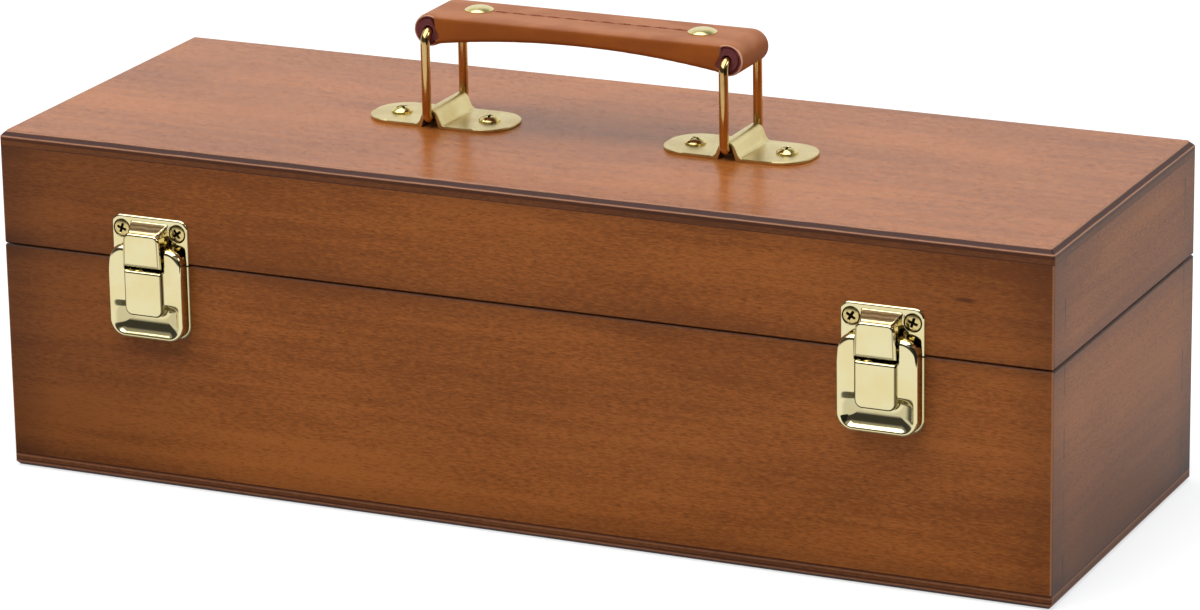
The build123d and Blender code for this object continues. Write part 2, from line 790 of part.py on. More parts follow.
def grip_leather():
    """The outer leather, wrapped round the strap and open at the four mouths."""
    radius = core_end_radius + leather_thickness
    profile = grip_profile(radius, core_arch_middle - leather_thickness, core_arch_ends + leather_thickness)
    cover = extrude(LENGTHWISE * profile, grip_width / 2, both=True)
    upper = [edge for edge in cover.edges().filter_by(Axis.X) if edge.center().Z > grip_z]
    cover = fillet(upper, min(grip_edge_radius, leather_thickness * 0.9))
    cover -= grip_core_form()
    inner = grip_profile(core_end_radius, core_arch_middle, core_arch_ends)
    for mouth in mouths():
        cover -= extrude(LENGTHWISE * (inner & mouth), grip_width, both=True)
    for hole in rivet_holes():
        cover -= hole
    for side in (-1, 1):
        seat = Pos(side * rivet_spacing / 2, 0, rivet_seat_z) * Circle(rivet_tail_radius + hole_clearance)
        cover -= extrude(seat, -2 * core_end_radius)
    return cover


def rivet():
    """A domed rivet through the grip, with its head on the leather."""
    top = grip_z + core_end_radius + leather_thickness
    crown = dome(rivet_head_radius, top, top + rivet_head_height)
    rest = Polyline(
        (rivet_head_radius, top),
        (rivet_shank_radius, top),
        (rivet_shank_radius, rivet_seat_z),
        (rivet_tail_radius, rivet_seat_z),
        (rivet_tail_radius - rivet_tail_bevel, rivet_seat_z - rivet_tail_height),
        (0, rivet_seat_z - rivet_tail_height),
        (0, top + rivet_head_height),
    )
    return revolve(Plane.XZ * make_face([crown, rest]), Axis.Z)


def hex_nut():
    """A nut under the lid's top panel, with its upper face at z = 0."""
    prism = extrude(RegularPolygon(handle_nut_flats / 2, 6, major_radius=False), handle_nut_height)
    body = Pos(0, 0, -handle_nut_height) * prism
    return body - Cylinder(handle_screw_radius + hole_clearance, 4 * handle_nut_height)


def handle_places():
    """The lengthwise places of the two loops."""
    return [-handle_span / 2, handle_span / 2]


def handle_screw_places():
    """The lengthwise places of the four handle screws."""
    return [x + side * handle_screw_spacing / 2 for x in handle_places() for side in (-1, 1)]


def latch_places():
    """The lengthwise places of the two latches."""
    return [-latch_x, latch_x]


def hinge_places():
    """The lengthwise places of the two hinges."""
    return [-hinge_x, hinge_x]


def drilled_front(panel, screws):
    """A front panel with the pilot holes of both latches."""
    for place in latch_places():
        for x, z in screws:
            spot = FRONT * Pos(place + x, z)
            panel -= pilot(spot, latch_screw_head, latch_screw_radius, latch_screw_length, latch_metal)
    return panel


def drilled_back(panel, upper):
    """A back panel with the pilot holes of both hinges."""
    for place in hinge_places():
        for x, z in hinge_screw_places(upper):
            spot = BACK * Pos(place + x, z)
            panel -= pilot(spot, hinge_screw_head, hinge_screw_radius, hinge_screw_length, leaf_metal)
    return panel


def base_nodes():
    """The base's wooden pieces."""
    low, high = bottom_ply, base_top
    front = face_panel(-1, front_wall, low, high, base_front_fingers, True)
    back = face_panel(1, back_wall, low, high, base_back_fingers, True)
    nodes = {
        "base_front_panel": drilled_front(ease_split(front, high), base_screw_places()),
        "base_back_panel": drilled_back(ease_split(back, high), False),
        "base_bottom_panel": ply_panel(0, bottom_ply, bottom_edge_chamfer, False),
    }
    for name, side in (("left", -1), ("right", 1)):
        panel = end_panel(side, low, high, base_front_fingers, base_back_fingers, True, True)
        nodes["base_" + name + "_end"] = ease_split(panel, high)
    return nodes


def lid_nodes():
    """The lid's wooden pieces."""
    low, high = lid_bottom, top_under
    front = face_panel(-1, front_wall, low, high, lid_front_fingers, True)
    back = face_panel(1, back_wall, low, high, lid_back_fingers, False)
    top = ply_panel(top_under, height, top_edge_chamfer, True)
    for x in handle_screw_places():
        top -= Pos(x, 0, height - top_ply / 2) * Cylinder(handle_screw_radius + hole_clearance, 2 * top_ply)
    nodes = {
        "lid_front_panel": drilled_front(ease_split(front, low), strike_screw_places()),
        "lid_back_panel": drilled_back(ease_split(back, low), True),
        "lid_top_panel": top,
    }
    for name, side in (("left", -1), ("right", 1)):
        panel = end_panel(side, low, high, lid_front_fingers, lid_back_fingers, True, False)
        nodes["lid_" + name + "_end"] = ease_split(panel, low)
    return nodes


def latch_nodes():
    """Both latches and their screws."""
    nodes = {}
    pieces = {
        "strike_plate": strike_plate(),
        "base_plate": latch_base_plate(),
        "lever": lever(),
        "lever_pins": lever_pins(),
        "claw": claw(),
        "claw_pins": claw_pins(),
    }
    for side, x in zip(("left", "right"), latch_places()):
        for name, piece in pieces.items():
            solids = piece if isinstance(piece, list) else [piece]
            nodes["latch_" + side + "_" + name] = [Pos(x, 0, 0) * solid for solid in solids]
    screw = countersunk_screw(latch_screw_head, latch_screw_radius, latch_screw_length)
    face = FRONT.offset(latch_metal)
    groups = {"latch_strike_screws": strike_screw_places(), "latch_base_screws": base_screw_places()}
    for name, places in groups.items():
        nodes[name] = [face * (Pos(place + x, z) * screw) for place in latch_places() for x, z in places]
    return nodes


def hinge_nodes():
    """Both hinges and their screws."""
    nodes = {}
    pieces = {"base_leaf": hinge_leaf(False), "lid_leaf": hinge_leaf(True), "pin": hinge_pin()}
    for side, x in zip(("left", "right"), hinge_places()):
        for name, piece in pieces.items():
            nodes["hinge_" + side + "_" + name] = Pos(x, 0, 0) * piece
    screw = countersunk_screw(hinge_screw_head, hinge_screw_radius, hinge_screw_length)
    face = BACK.offset(leaf_metal)
    for name, upper in (("hinge_base_screws", False), ("hinge_lid_screws", True)):
        nodes[name] = [face * (Pos(place + x, z) * screw) for place in hinge_places()
                       for x, z in hinge_screw_places(upper)]
    return nodes


def handle_nodes():
    """The carrying handle, its plates, screws and nuts."""
    nodes = {
        "handle_core": grip_core(),
        "handle_leather": grip_leather(),
        "handle_rivets": [Pos(side * rivet_spacing / 2, 0, 0) * rivet() for side in (-1, 1)],
        "handle_screws": [Pos(x, 0, height + saddle_metal) * pan_screw() for x in handle_screw_places()],
        "handle_nuts": [Pos(x, 0, top_under) * hex_nut() for x in handle_screw_places()],
    }
    for side, x in zip(("left", "right"), handle_places()):
        nodes["handle_" + side + "_plate"] = Pos(x, 0, 0) * saddle_plate()
        nodes["handle_" + side + "_loop"] = Pos(x, 0, 0) * wire_loop()
    return nodes


def write_parts():
    """Write one file per node."""
    os.makedirs("parts", exist_ok=True)
    nodes = {**base_nodes(), **lid_nodes(), **latch_nodes(), **hinge_nodes(), **handle_nodes()}
    for name, piece in nodes.items():
        solids = piece if isinstance(piece, list) else [piece]
        shape = solids[0] if len(solids) == 1 else Compound(children=solids)
        export_step(shape, "parts/" + name + ".step")
    print("pivots in metres: lid", (0, hinge_y / 1000, split_height / 1000))
    print("handle bars", handle_span / 2000, bar_z / 1000, grip_z / 1000)
    print("latches", latch_x / 1000)
    print("lever", (front_y - lever_pivot_depth) / 1000, (split_height + lever_pivot_z) / 1000)
    print("claw", (front_y - claw_pivot_depth) / 1000, (split_height + claw_pivot_z) / 1000)


write_parts()
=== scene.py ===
import math

import bmesh
import bpy
from mathutils import Matrix, Vector


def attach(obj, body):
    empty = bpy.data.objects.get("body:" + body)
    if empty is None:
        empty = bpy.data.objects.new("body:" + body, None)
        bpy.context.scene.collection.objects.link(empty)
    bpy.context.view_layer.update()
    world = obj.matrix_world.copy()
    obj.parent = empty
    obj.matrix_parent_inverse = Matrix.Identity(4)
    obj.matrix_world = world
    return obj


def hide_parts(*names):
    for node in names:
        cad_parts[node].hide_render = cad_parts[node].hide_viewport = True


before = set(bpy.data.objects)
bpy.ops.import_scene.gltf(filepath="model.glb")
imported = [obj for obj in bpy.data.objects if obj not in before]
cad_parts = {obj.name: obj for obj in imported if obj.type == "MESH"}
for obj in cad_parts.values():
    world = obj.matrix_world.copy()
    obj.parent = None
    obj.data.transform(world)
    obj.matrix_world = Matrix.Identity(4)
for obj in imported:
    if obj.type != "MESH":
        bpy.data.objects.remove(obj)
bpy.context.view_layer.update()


# The camera stands to the right of the front, a little above the box, and looks
# through a long lens, so that the far edges hardly converge.
lens = bpy.data.cameras.new("camera")
lens.sensor_width = 36
lens.lens = 164.15
lens.clip_start = 0.05
lens.clip_end = 50
right = Vector((0.90907763, 0.41632385, -0.01588413))
up = Vector((-0.11104295, 0.27886549, 0.95388862))
back = Vector((0.40155612, -0.86539499, 0.29974021))
camera = bpy.data.objects.new("camera", lens)
stance = Matrix.Translation((0.78666, -1.69088, 0.64881))
camera.matrix_world = stance @ Matrix((right, up, back)).transposed().to_4x4()
bpy.context.scene.collection.objects.link(camera)
bpy.context.scene.camera = camera


# The walls of the base are solid wood, stained brown and waxed. They meet in
# half-blind finger joints, glued, and the joints show as fine lines on the ends.
class Flow:
    """A value on its way from one node to the next, which adds and scales like a number."""

    def __init__(self, tree, socket):
        self.tree = tree
        self.socket = socket

    def other(self, name):
        """Another output of the node that this value comes from."""
        return Flow(self.tree, self.socket.node.outputs[name])

    def worked(self, operation, value=0.0):
        """The result of a Math node on this value and another."""
        return self.tree.node("ShaderNodeMath", {"operation": operation}, {0: self, 1: value})

    def __add__(self, value):
        return self.worked("ADD", value)

    def __sub__(self, value):
        return self.worked("SUBTRACT", value)

    def __rsub__(self, value):
        return self.tree.node("ShaderNodeMath", {"operation": "SUBTRACT"}, {0: value, 1: self})

    def __mul__(self, value):
        return self.worked("MULTIPLY", value)

    def __truediv__(self, value):
        return self.worked("DIVIDE", value)

    def __abs__(self):
        return self.worked("ABSOLUTE")

    __radd__ = __add__
    __rmul__ = __mul__


class Tree:
    """A node tree, with one method that adds any node."""

    def __init__(self, tree):
        self.tree = tree

    def node(self, kind, settings=None, inputs=None, output=0):
        """Add a node, set it up, fill its sockets and return one of its outputs."""
        made = self.tree.nodes.new(kind)
        for name, value in (settings or {}).items():
            setattr(made, name, value)
        for name, value in (inputs or {}).items():
            if isinstance(value, Flow):
                self.tree.links.new(value.socket, made.inputs[name])
            else:
                made.inputs[name].default_value = value
        return Flow(self, made.outputs[output]) if made.outputs else None

    def parts(self, vector):
        """The x, y and z of a vector."""
        x = self.node("ShaderNodeSeparateXYZ", inputs={0: vector})
        return x, x.other("Y"), x.other("Z")

    def joined(self, x, y, z):
        """The vector of three values."""
        return self.node("ShaderNodeCombineXYZ", inputs={0: x, 1: y, 2: z})

    def rise(self, value, low, high):
        """0 below low and 1 above high, with a soft step between, or the reverse."""
        limits = {"Value": value, "From Min": low, "From Max": high}
        return self.node("ShaderNodeMapRange", {"interpolation_type": "SMOOTHSTEP"}, limits)


class Finish(Tree):
    """A material, with the few steps that every surface here is made from."""

    def __init__(self, name, **constants):
        self.material = bpy.data.materials.new(name)
        self.material.use_nodes = True
        super().__init__(self.material.node_tree)
        self.shader = self.tree.nodes["Principled BSDF"]
        for socket, value in constants.items():
            self.shader.inputs[socket.replace("_", " ")].default_value = value

    def place(self):
        """The x, y and z of the surface, in millimetres."""
        spot = self.node("ShaderNodeTexCoord", output="Object")
        return tuple(part * 1000 for part in self.parts(spot))

    def facing(self):
        """The x, y and z of the way that the surface faces."""
        return self.parts(self.node("ShaderNodeTexCoord", output="Normal"))

    def noise(self, x, y, z, detail=3.0, roughness=0.55):
        """Noise from 0 to 1 with its cells about one unit wide."""
        settings = {"Scale": 1.0, "Detail": detail, "Roughness": roughness}
        return self.node("ShaderNodeTexNoise", inputs={"Vector": self.joined(x, y, z), **settings})

    def mixed(self, share, first, second):
        """Two colours mixed by a share from 0 to 1."""
        return self.node("ShaderNodeMix", {"data_type": "RGBA"}, {0: share, 6: first, 7: second}, 2)

    def feed(self, socket, value):
        """Link a value that varies over the surface to the shader."""
        self.tree.links.new(value.socket, self.shader.inputs[socket])

    def relief(self, height, depth):
        """Raise the surface by a height from 0 to 1, times a depth in millimetres."""
        settings = {"Height": height, "Distance": depth / 1000, "Strength": 1.0}
        self.feed("Normal", self.node("ShaderNodeBump", inputs=settings))


def surfaced(material, *nodes):
    """Give solids of the frame their finish, as they stand."""
    for node in nodes:
        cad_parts[node].data.materials.clear()
        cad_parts[node].data.materials.append(material)


def seen(red, green, blue):
    """A colour as it is seen on screen, from 0 to 255, in the numbers that light uses."""
    return tuple((part / 255 / 12.92 if part < 11 else ((part / 255 + 0.055) / 1.055) ** 2.4)
                 for part in (red, green, blue)) + (1.0,)


# Millimetres. The split is where the lid meets the base.
half_length, half_width = 200, 72
wall_foot, split_level, wall_head = 5, 84, 120.5
finger_length = 11
front_finger_pitch, back_finger_pitch = 22.5, 31.5
knot_place, knot_size = (168.7, 105.3), (5.2, 1.1)
stain_light = seen(162, 94, 41)
stain_deep = seen(126, 69, 28)
stain_pore = seen(86, 43, 18)
# The darkest stain, also the colour of painted shade on the walls and the ply edges.
dark_stain_and_shade = seen(58, 30, 16)
joint_line_and_seam_shade = seen(26, 12, 8)
pale_wood_and_highlight = seen(176, 128, 100)


def stained(finish, along, across, depth):
    """Stained wood with its grain along one direction: its colour and its relief."""
    clouds = finish.noise(along * 0.008, across * 0.025, depth * 0.025, 2.0)
    bands = finish.noise(along * 0.015 + 7, across * 0.3, depth * 0.3, 4.0, 0.6)
    fibres = finish.noise(along * 0.35 + 3, across * 1.9, depth * 1.9, 3.0, 0.7)
    pores = finish.noise(along * 0.4 + 11, across * 2.6, depth * 2.6, 2.0, 0.6)
    tone = finish.rise(clouds * 0.3 + bands * 0.2 + fibres * 0.5, 0.4, 0.6)
    marks = finish.rise(pores, 0.56, 0.7)
    colour = finish.mixed(tone, stain_deep, stain_light)
    colour = finish.mixed(marks * 0.5, colour, stain_pore)
    return colour, fibres * 0.5 - marks * 0.5, marks


def wall_wood():
    """The finish of every wall: grain along the piece, painted shade toward its edges and split, and
    joint lines.
    """
    finish = Finish("stained_wall", IOR=1.24)
    x, y, z = finish.place()
    face_x, _, face_z = finish.facing()
    end = finish.rise(abs(face_x), 0.6, 0.8)
    along = x + (y - x) * end
    depth = y + (x - y) * end
    colour, relief, marks = stained(finish, along + z * 0.02, z, depth)
    knot_x = (x - knot_place[0]) / knot_size[0]
    knot_z = (z - knot_place[1]) / knot_size[1]
    on_front = finish.rise(y, -40, -60)
    knot = finish.rise(knot_x * knot_x + knot_z * knot_z, 1.0, 0.0) * on_front
    colour = finish.mixed(knot * 0.8, colour, stain_pore)

    upright = finish.rise(abs(face_z), 0.95, 0.85)
    outward = abs(x) + (abs(y) + (half_length - half_width) - abs(x)) * end
    corner = finish.rise(outward, half_length - 22, half_length)
    split = finish.rise(abs(z - split_level), 9, 0.2) * upright
    foot = finish.rise(z, wall_foot + 8, wall_foot)
    head = finish.rise(z, wall_head - 7.5, wall_head)
    far_left = finish.rise(x, -95, -199)
    low_end = finish.rise(z, 66, 4) * end
    by_knot = finish.rise(x, 95, 165) * finish.rise(z, 86, 98) * (1 - end)
    # Painted shade: darker toward the ends, by the split, at the foot and the head, at the far left and
    # low on the ends. The end grain and a patch right of the knot are darker stain.
    stain_and_shade = end * 0.14 + corner * 0.36 + split * 0.36 + foot * 0.35 + head * 0.3
    stain_and_shade = stain_and_shade + far_left * 0.55 + low_end * 0.68 + by_knot * 0.3
    colour = finish.mixed(stain_and_shade * (0.55 + relief * 0.5), colour, dark_stain_and_shade)

    fingers = []
    for pitch in (front_finger_pitch, back_finger_pitch):
        rank = ((z - wall_foot) / pitch).worked("FRACT")
        fingers.append(finish.rise(rank, 0.5, 0.49))
    in_front, behind = fingers
    beside = in_front + (behind - in_front) * finish.rise(y, -1, 1)
    joint = finish.rise(abs(abs(y) - (half_width - finger_length)), 0.5, 0.3) * beside * end
    worn = finish.rise(finish.noise(x * 0.02, y * 0.05, z * 0.05, 1.0), 0.4, 0.6)
    joint = joint * (0.35 + worn * 0.5)
    # The seam at the split is painted shade in the gap between lid and base; the finger joints are dark
    # glue lines.
    seam = finish.rise(abs(z - split_level), end * 0.3 + 0.85, end * 0.25 + 0.5)
    seam = seam * (0.6 + end * 0.4) * upright
    colour = finish.mixed(joint.worked("MAXIMUM", seam), colour, joint_line_and_seam_shade)

    # The pale line along the corner arrises is partly worn stain and partly painted highlight.
    arris = finish.rise(abs(x), half_length - 0.8, half_length - 0.4)
    arris = arris * finish.rise(abs(y), half_width - 0.8, half_width - 0.4)
    colour = finish.mixed(arris * 0.5, colour, pale_wood_and_highlight)
    finish.feed("Base Color", colour)
    finish.feed("Roughness", 0.33 + marks * 0.2)
    finish.relief(relief, 0.05)
    return finish.material


wall_finish = wall_wood()
surfaced(wall_finish, "base_front_panel", "base_back_panel", "base_left_end", "base_right_end")


# The bottom panel is plywood, glued under the walls. Its edge shows the layers,
# and its lower rim is broken by a small bevel.
# Dark glue lines between the plies, also the colour of painted shadow.
ply_dark_and_shadow = seen(54, 20, 10)


def panel_wood(name, lines):
    """The finish of a plywood panel: stained faces, and an edge that shows its layers, with painted
    shade and highlight on it.

    Each line has the level of its middle, its half width, its strength and its colour.
    """
    finish = Finish(name, IOR=1.29)
    x, y, z = finish.place()
    colour, relief, marks = stained(finish, x + y * 0.03, y, z)
    rim = finish.rise(abs(finish.facing()[2]), 0.95, 0.9)
    # The edge is darkened: darker stain on the cut layers, and painted shade like the walls' head.
    colour = finish.mixed(rim * 0.62, colour, dark_stain_and_shade)
    level = z + finish.noise(x * 0.05, y * 0.05, z * 0.2, 2.0) * 0.3 - 0.15
    layers = 0.0
    for middle, half, strength, tint in lines:
        line = finish.rise(abs(level - middle), half, half * 0.5) * rim
        line = line * (strength + relief * 0.3)
        colour = finish.mixed(line, colour, tint)
        layers = layers + line
    finish.feed("Base Color", colour)
    finish.feed("Roughness", 0.26 + marks * 0.18 + rim * 0.14)
    finish.relief(relief - layers, 0.05)
    return finish.material


# The dark band at the very bottom is painted shadow under the bevel; the other lines are the layers.
bottom_finish = panel_wood("stained_bottom_ply", (
    (4.8, 0.4, 0.7, ply_dark_and_shadow), (3.9, 0.4, 0.2, pale_wood_and_highlight), (2.2, 0.35, 0.6, ply_dark_and_shadow),
    (1.5, 0.3, 0.3, pale_wood_and_highlight), (0.5, 0.9, 0.8, ply_dark_and_shadow),
))
surfaced(bottom_finish, "base_bottom_panel")


# The walls of the lid are the same stained wood, cut from the same boards, so
# the grain runs on from the base.
surfaced(wall_finish, "lid_front_panel", "lid_back_panel", "lid_left_end", "lid_right_end")


# The top panel is plywood too, glued on the lid's walls, with a wider bevel round
# its upper rim that cuts through the layers.
# On the top's edge, the pale lines at the bevel's arrises are painted highlight and wear.
top_finish = panel_wood("stained_top_ply", (
    (125.8, 0.3, 0.6, pale_wood_and_highlight), (124.9, 0.75, 0.9, ply_dark_and_shadow), (124.0, 0.3, 0.55, pale_wood_and_highlight),
    (123.1, 0.7, 0.55, ply_dark_and_shadow), (120.6, 0.35, 0.5, ply_dark_and_shadow),
))
surfaced(top_finish, "lid_top_panel")


# The hinges are rolled from brass strip: two leaves each, on a brass pin. They
# are screwed to the back, and their stop lugs hold the open lid.
def settled(holder):
    """The plain mesh that an object's modifiers make, with the object taken away."""
    bpy.context.scene.collection.objects.link(holder)
    bpy.context.view_layer.update()
    graph = bpy.context.evaluated_depsgraph_get()
    mesh = bpy.data.meshes.new_from_object(holder.evaluated_get(graph))
    bpy.data.objects.remove(holder)
    return mesh


def joined_up(mesh):
    """A mesh to work on, with the points that lie together made one."""
    work = bmesh.new()
    work.from_mesh(mesh)
    bmesh.ops.remove_doubles(work, verts=work.verts, dist=2e-6)
    return work


def evened(mesh, crease=32):
    """Round the shading over soft bends and keep it crisp at edges and on flats.

    The crease is the sharpest bend that is still soft, in degrees.
    """
    work = joined_up(mesh)
    for face in work.faces:
        face.smooth = True
    for edge in work.edges:
        edge.smooth = edge.calc_face_angle(0.0) < math.radians(crease)
    work.to_mesh(mesh)
    work.free()
    holder = bpy.data.objects.new("holder", mesh)
    weights = holder.modifiers.new("weights", "WEIGHTED_NORMAL")
    weights.keep_sharp = True
    return settled(holder)


def add_piece(name, mesh, material, body, slot, *nodes):
    """Put a finished mesh in the scene, on its body, in place of the solids it stands for."""
    mesh.materials.clear()
    mesh.materials.append(material)
    for face in mesh.polygons:
        face.material_index = 0
    piece = bpy.data.objects.new(name, mesh)
    bpy.context.scene.collection.objects.link(piece)
    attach(piece, body)
    if nodes:
        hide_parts(*nodes)


def smooth_copy(node, material, body, slot, crease=32):
    """A solid again, with its bends shaded as smooth metal."""
    mesh = evened(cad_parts[node].data.copy(), crease)
    add_piece(node + "_metal", mesh, material, body, slot, node)


brass_painted_shade = seen(78, 60, 18)


def brass(name, flat, warm, rough, along=(1, 1, 1), scratch=0.004):
    """Brass with a drift of tone, faint scratches along one direction, uneven gloss and painted shade
    where a mesh marks it.
    """
    finish = Finish(name, Metallic=1.0)
    x, y, z = finish.place()
    drift = finish.noise(x * 0.08, y * 0.08, z * 0.08, 3.0)
    hairs = finish.noise(x * along[0], y * along[1], z * along[2], 4.0, 0.7)
    specks = finish.rise(finish.noise(x * 2.3, y * 2.3, z * 2.3, 1.0), 0.72, 0.8)
    colour = finish.mixed(finish.rise(drift + specks * 0.3, 0.35, 0.7), flat, warm)
    # The corner attribute is painted shade, which darkens the brass toward its shaded colour.
    corner = finish.node("ShaderNodeAttribute", {"attribute_name": "corner"}, output="Fac")
    finish.feed("Base Color", finish.mixed(corner * 0.9, colour, brass_painted_shade))
    dull = finish.rise(hairs, 0.45, 0.75) * rough * 0.6 + specks * 0.1
    finish.feed("Roughness", rough + dull)
    finish.relief(hairs, scratch)
    return finish.material


hinge_finish = brass("hinge_brass", seen(214, 190, 120), seen(196, 164, 92), 0.24, (0.5, 4, 4))
for side in ("left", "right"):
    for part, body in (("base_leaf", "base"), ("lid_leaf", "lid"), ("pin", "base")):
        smooth_copy(f"hinge_{side}_{part}", hinge_finish, body, "hinge_brass")


# The latches are pressed from polished brass-plated sheet and screwed on. A base
# plate carries the lever on inner ears, and the lever carries the claw, which
# closes over the hook of the strike plate on the lid.
def soft_step(value, low, high):
    """0 below low and 1 above high, with a soft step between."""
    share = min(max((value - low) / (high - low), 0.0), 1.0)
    return share * share * (3 - 2 * share)


def inset(x, z, half, low, high, radius):
    """How far a point lies inside a rectangle with rounded corners."""
    out_x = abs(x) - half + radius
    out_z = abs(z - (low + high) / 2) - (high - low) / 2 + radius
    return radius - math.hypot(max(out_x, 0.0), max(out_z, 0.0)) - min(max(out_x, out_z), 0.0)


def roll(reach, radius):
    """How far a rolled edge of one radius falls back, at a distance in from its end."""
    share = min(max(1 - reach / radius, 0.0), 1.0)
    return radius - radius * math.sqrt(1 - share * share)


def softer_least(first, second, blend):
    """The smaller of two values, with a soft passage from one to the other."""
    share = max(blend - abs(first - second), 0.0) / blend
    return min(first, second) - share * share * blend / 4


def outward(mesh):
    """Turn all faces of a closed mesh outward."""
    work = bmesh.new()
    work.from_mesh(mesh)
    bmesh.ops.recalc_face_normals(work, faces=work.faces)
    work.to_mesh(mesh)
    work.free()
    return mesh


def at_split(x, depth, z):
    """A point of a latch, in metres: across, out from the front and up from the split."""
    return x / 1000, -half_width / 1000 - depth / 1000, split_level / 1000 + z / 1000


def pressed(half, low, high, edge, front, behind, painted_shade, sides=(), taper=0.0):
    """A sheet pressed to a form, from functions for its edge, front, back and painted shade.

    Each of its side walls has a near and a far distance from the middle, and an outline.
    """
    step = 0.2
    across = round(2 * half / step)
    along = round((high - low) / step)
    spots, faces, darkness = [], [], []
    numbers = {}

    def place(column, line):
        """Where a column and a line of the grid cross: across and up."""
        width = half - taper * line / along
        return width * (2 * column / across - 1), low + (high - low) * line / along

    def spot(column, line, back):
        """One point of the front or the back, moved on to the sheet's edge near it."""
        if (column, line, back) not in numbers:
            x, z = place(column, line)
            reach = edge(x, z)
            if reach < step * 0.45:
                lean_x = (edge(x + 0.01, z) - edge(x - 0.01, z)) / 0.02
                lean_z = (edge(x, z + 0.01) - edge(x, z - 0.01)) / 0.02
                size = lean_x * lean_x + lean_z * lean_z + 1e-9
                x -= reach * lean_x / size
                z -= reach * lean_z / size
            numbers[column, line, back] = len(spots)
            spots.append(at_split(x, behind(x, z) if back else front(x, z), z))
            # The back gets a fixed painted shade, the front the painted shade of its function.
            darkness.append(0.6 if back else painted_shade(x, z))
        return numbers[column, line, back]

    kept = {(column, line) for column in range(across) for line in range(along)
            if edge(*place(column + 0.5, line + 0.5)) > 0}
    for column, line in kept:
        corners = ((column, line), (column + 1, line), (column + 1, line + 1), (column, line + 1))
        faces.append([spot(*corner, False) for corner in corners])
        faces.append([spot(*corner, True) for corner in reversed(corners)])
        beside = ((column, line - 1), (column + 1, line), (column, line + 1), (column - 1, line))
        for turn, other in enumerate(beside):
            if other not in kept:
                first, second = corners[turn], corners[(turn + 1) % 4]
                faces.append([spot(*second, False), spot(*first, False),
                              spot(*first, True), spot(*second, True)])
    for x_low, x_high, wall in sides:
        count = len(wall)
        for side in (-1, 1):
            start = len(spots)
            for x in (side * x_low, side * x_high):
                spots.extend(at_split(x, depth, z) for depth, z in wall)
            # The side walls get a fixed painted shade.
            darkness.extend([0.8] * 2 * count)
            faces.append([start + n for n in range(count)])
            faces.append([start + count + n for n in reversed(range(count))])
            for n in range(count):
                after = (n + 1) % count
                faces.append([start + after, start + n, start + count + n, start + count + after])
    mesh = bpy.data.meshes.new("pressed")
    mesh.from_pydata(spots, [], faces)
    # The corner attribute carries the painted shade to the brass finish.
    mesh.attributes.new("corner", "FLOAT", "POINT").data.foreach_set("value", darkness)
    return evened(outward(mesh), 62)


# Millimetres: half widths, and heights from the split. A pivot is a depth and a height.
latch_place = 139.5
plate_half, strike_head, base_foot, plate_gap = 15.2, 16.6, -28.0, 0.3
lever_half, lever_foot, lever_head, lever_pivot = 14.7, -27.4, 6.6, (3.7, 4.3)
claw_half, claw_foot, claw_head, claw_pivot = 7.6, -0.3, 12.0, (4.6, 2.2)
strike_screws, base_screws = (11.1, 11.5), (5.0, -13.5)
window_half, window_foot = 7.9, -1.7
no_limit = 60


def disc(radius, pivot=lever_pivot):
    """The outline of a disc round a pivot, as points of depth and height."""
    angles = [math.tau * n / 32 for n in range(32)]
    return [(pivot[0] + radius * math.cos(turn), pivot[1] + radius * math.sin(turn))
            for turn in angles]


def plate_flat(x, z, reach, screws):
    """The front of a plate: a flat with a rolled edge and two countersinks."""
    flat = 1.0 - roll(reach, 0.95)
    for side in (-1, 1):
        from_screw = math.hypot(x - side * screws[0], z - screws[1])
        flat -= 0.85 * soft_step(3.3 - from_screw, 0.0, 0.4)
    return flat


def strike_outline(x, z):
    """How far a point lies inside the strike plate, before its lower end is cut."""
    return inset(x, z, plate_half, -5, strike_head, 3.6)


def strike_front(x, z):
    """The front of the strike plate, with the pressed hook: a roof, a brow, hips and a foot."""
    flat = plate_flat(x, z, strike_outline(x, z), strike_screws)
    roof = 1.0 + (14.5 - z) * 2.1
    brow = soft_step(z, 9.9, 10.5)
    hips = 1.0 + (5.7 + 1.8 * brow - abs(x)) * (8 - 4.6 * brow)
    foot = 1.0 + (z - 3.6) * 12
    hook = softer_least(softer_least(6.6, roof, 1.4), softer_least(hips, foot, 0.5), 2.2)
    return max(flat, hook)


def strike_behind(x, z):
    """The back of the strike plate: flat, and hollow behind the hook."""
    return max(strike_front(x, z) - 1.1, 0.0)


def strike_shade(x, z):
    """How dark the strike plate is painted: shade round its screws, and streaks of painted reflection
    on the top of its hook.
    """
    from_screw = math.hypot(abs(x) - strike_screws[0], z - strike_screws[1])
    rings = soft_step(0.35 - abs(3.1 - from_screw), 0.0, 0.2)
    hook = soft_step(strike_front(x, z), 1.05, 1.6) * soft_step(z, 11.2, 12.0)
    return max(hook * (0.5 + 0.3 * math.sin(z * 7 + 0.5 * math.sin(x))), rings)


def base_outline(x, z):
    """How far a point lies inside the base plate, before its upper end is cut."""
    return inset(x, z, plate_half, base_foot, 5, 5.2)


def base_shade(x, z):
    """How dark the base plate is painted with the lever's shadow, under and beside the lever."""
    return soft_step(-lever_edge(x, z), -0.6, 0.4) * 0.3


def lever_outline(x, z, head=lever_head):
    """How far a point lies inside the lever, its window left out."""
    return inset(x, z, lever_half, lever_foot, head, 6.0)


def beside_window(x, z):
    """How far a point lies outside the window in the lever that the claw moves in."""
    return max(abs(x) - window_half, window_foot - z)


def boss_outline(x, z, head=no_limit):
    """How far a point lies inside the lever's raised boss."""
    return inset(x, z, 7.6, -18.6, head, 3.0)


def bowl_outline(x, z, head=no_limit):
    """How far a point lies inside the dished thumb rest."""
    return inset(x, z, 13.3, -26.2, head, 4.6)


def lever_edge(x, z):
    """How far a point lies inside the lever's sheet."""
    return min(lever_outline(x, z), beside_window(x, z))


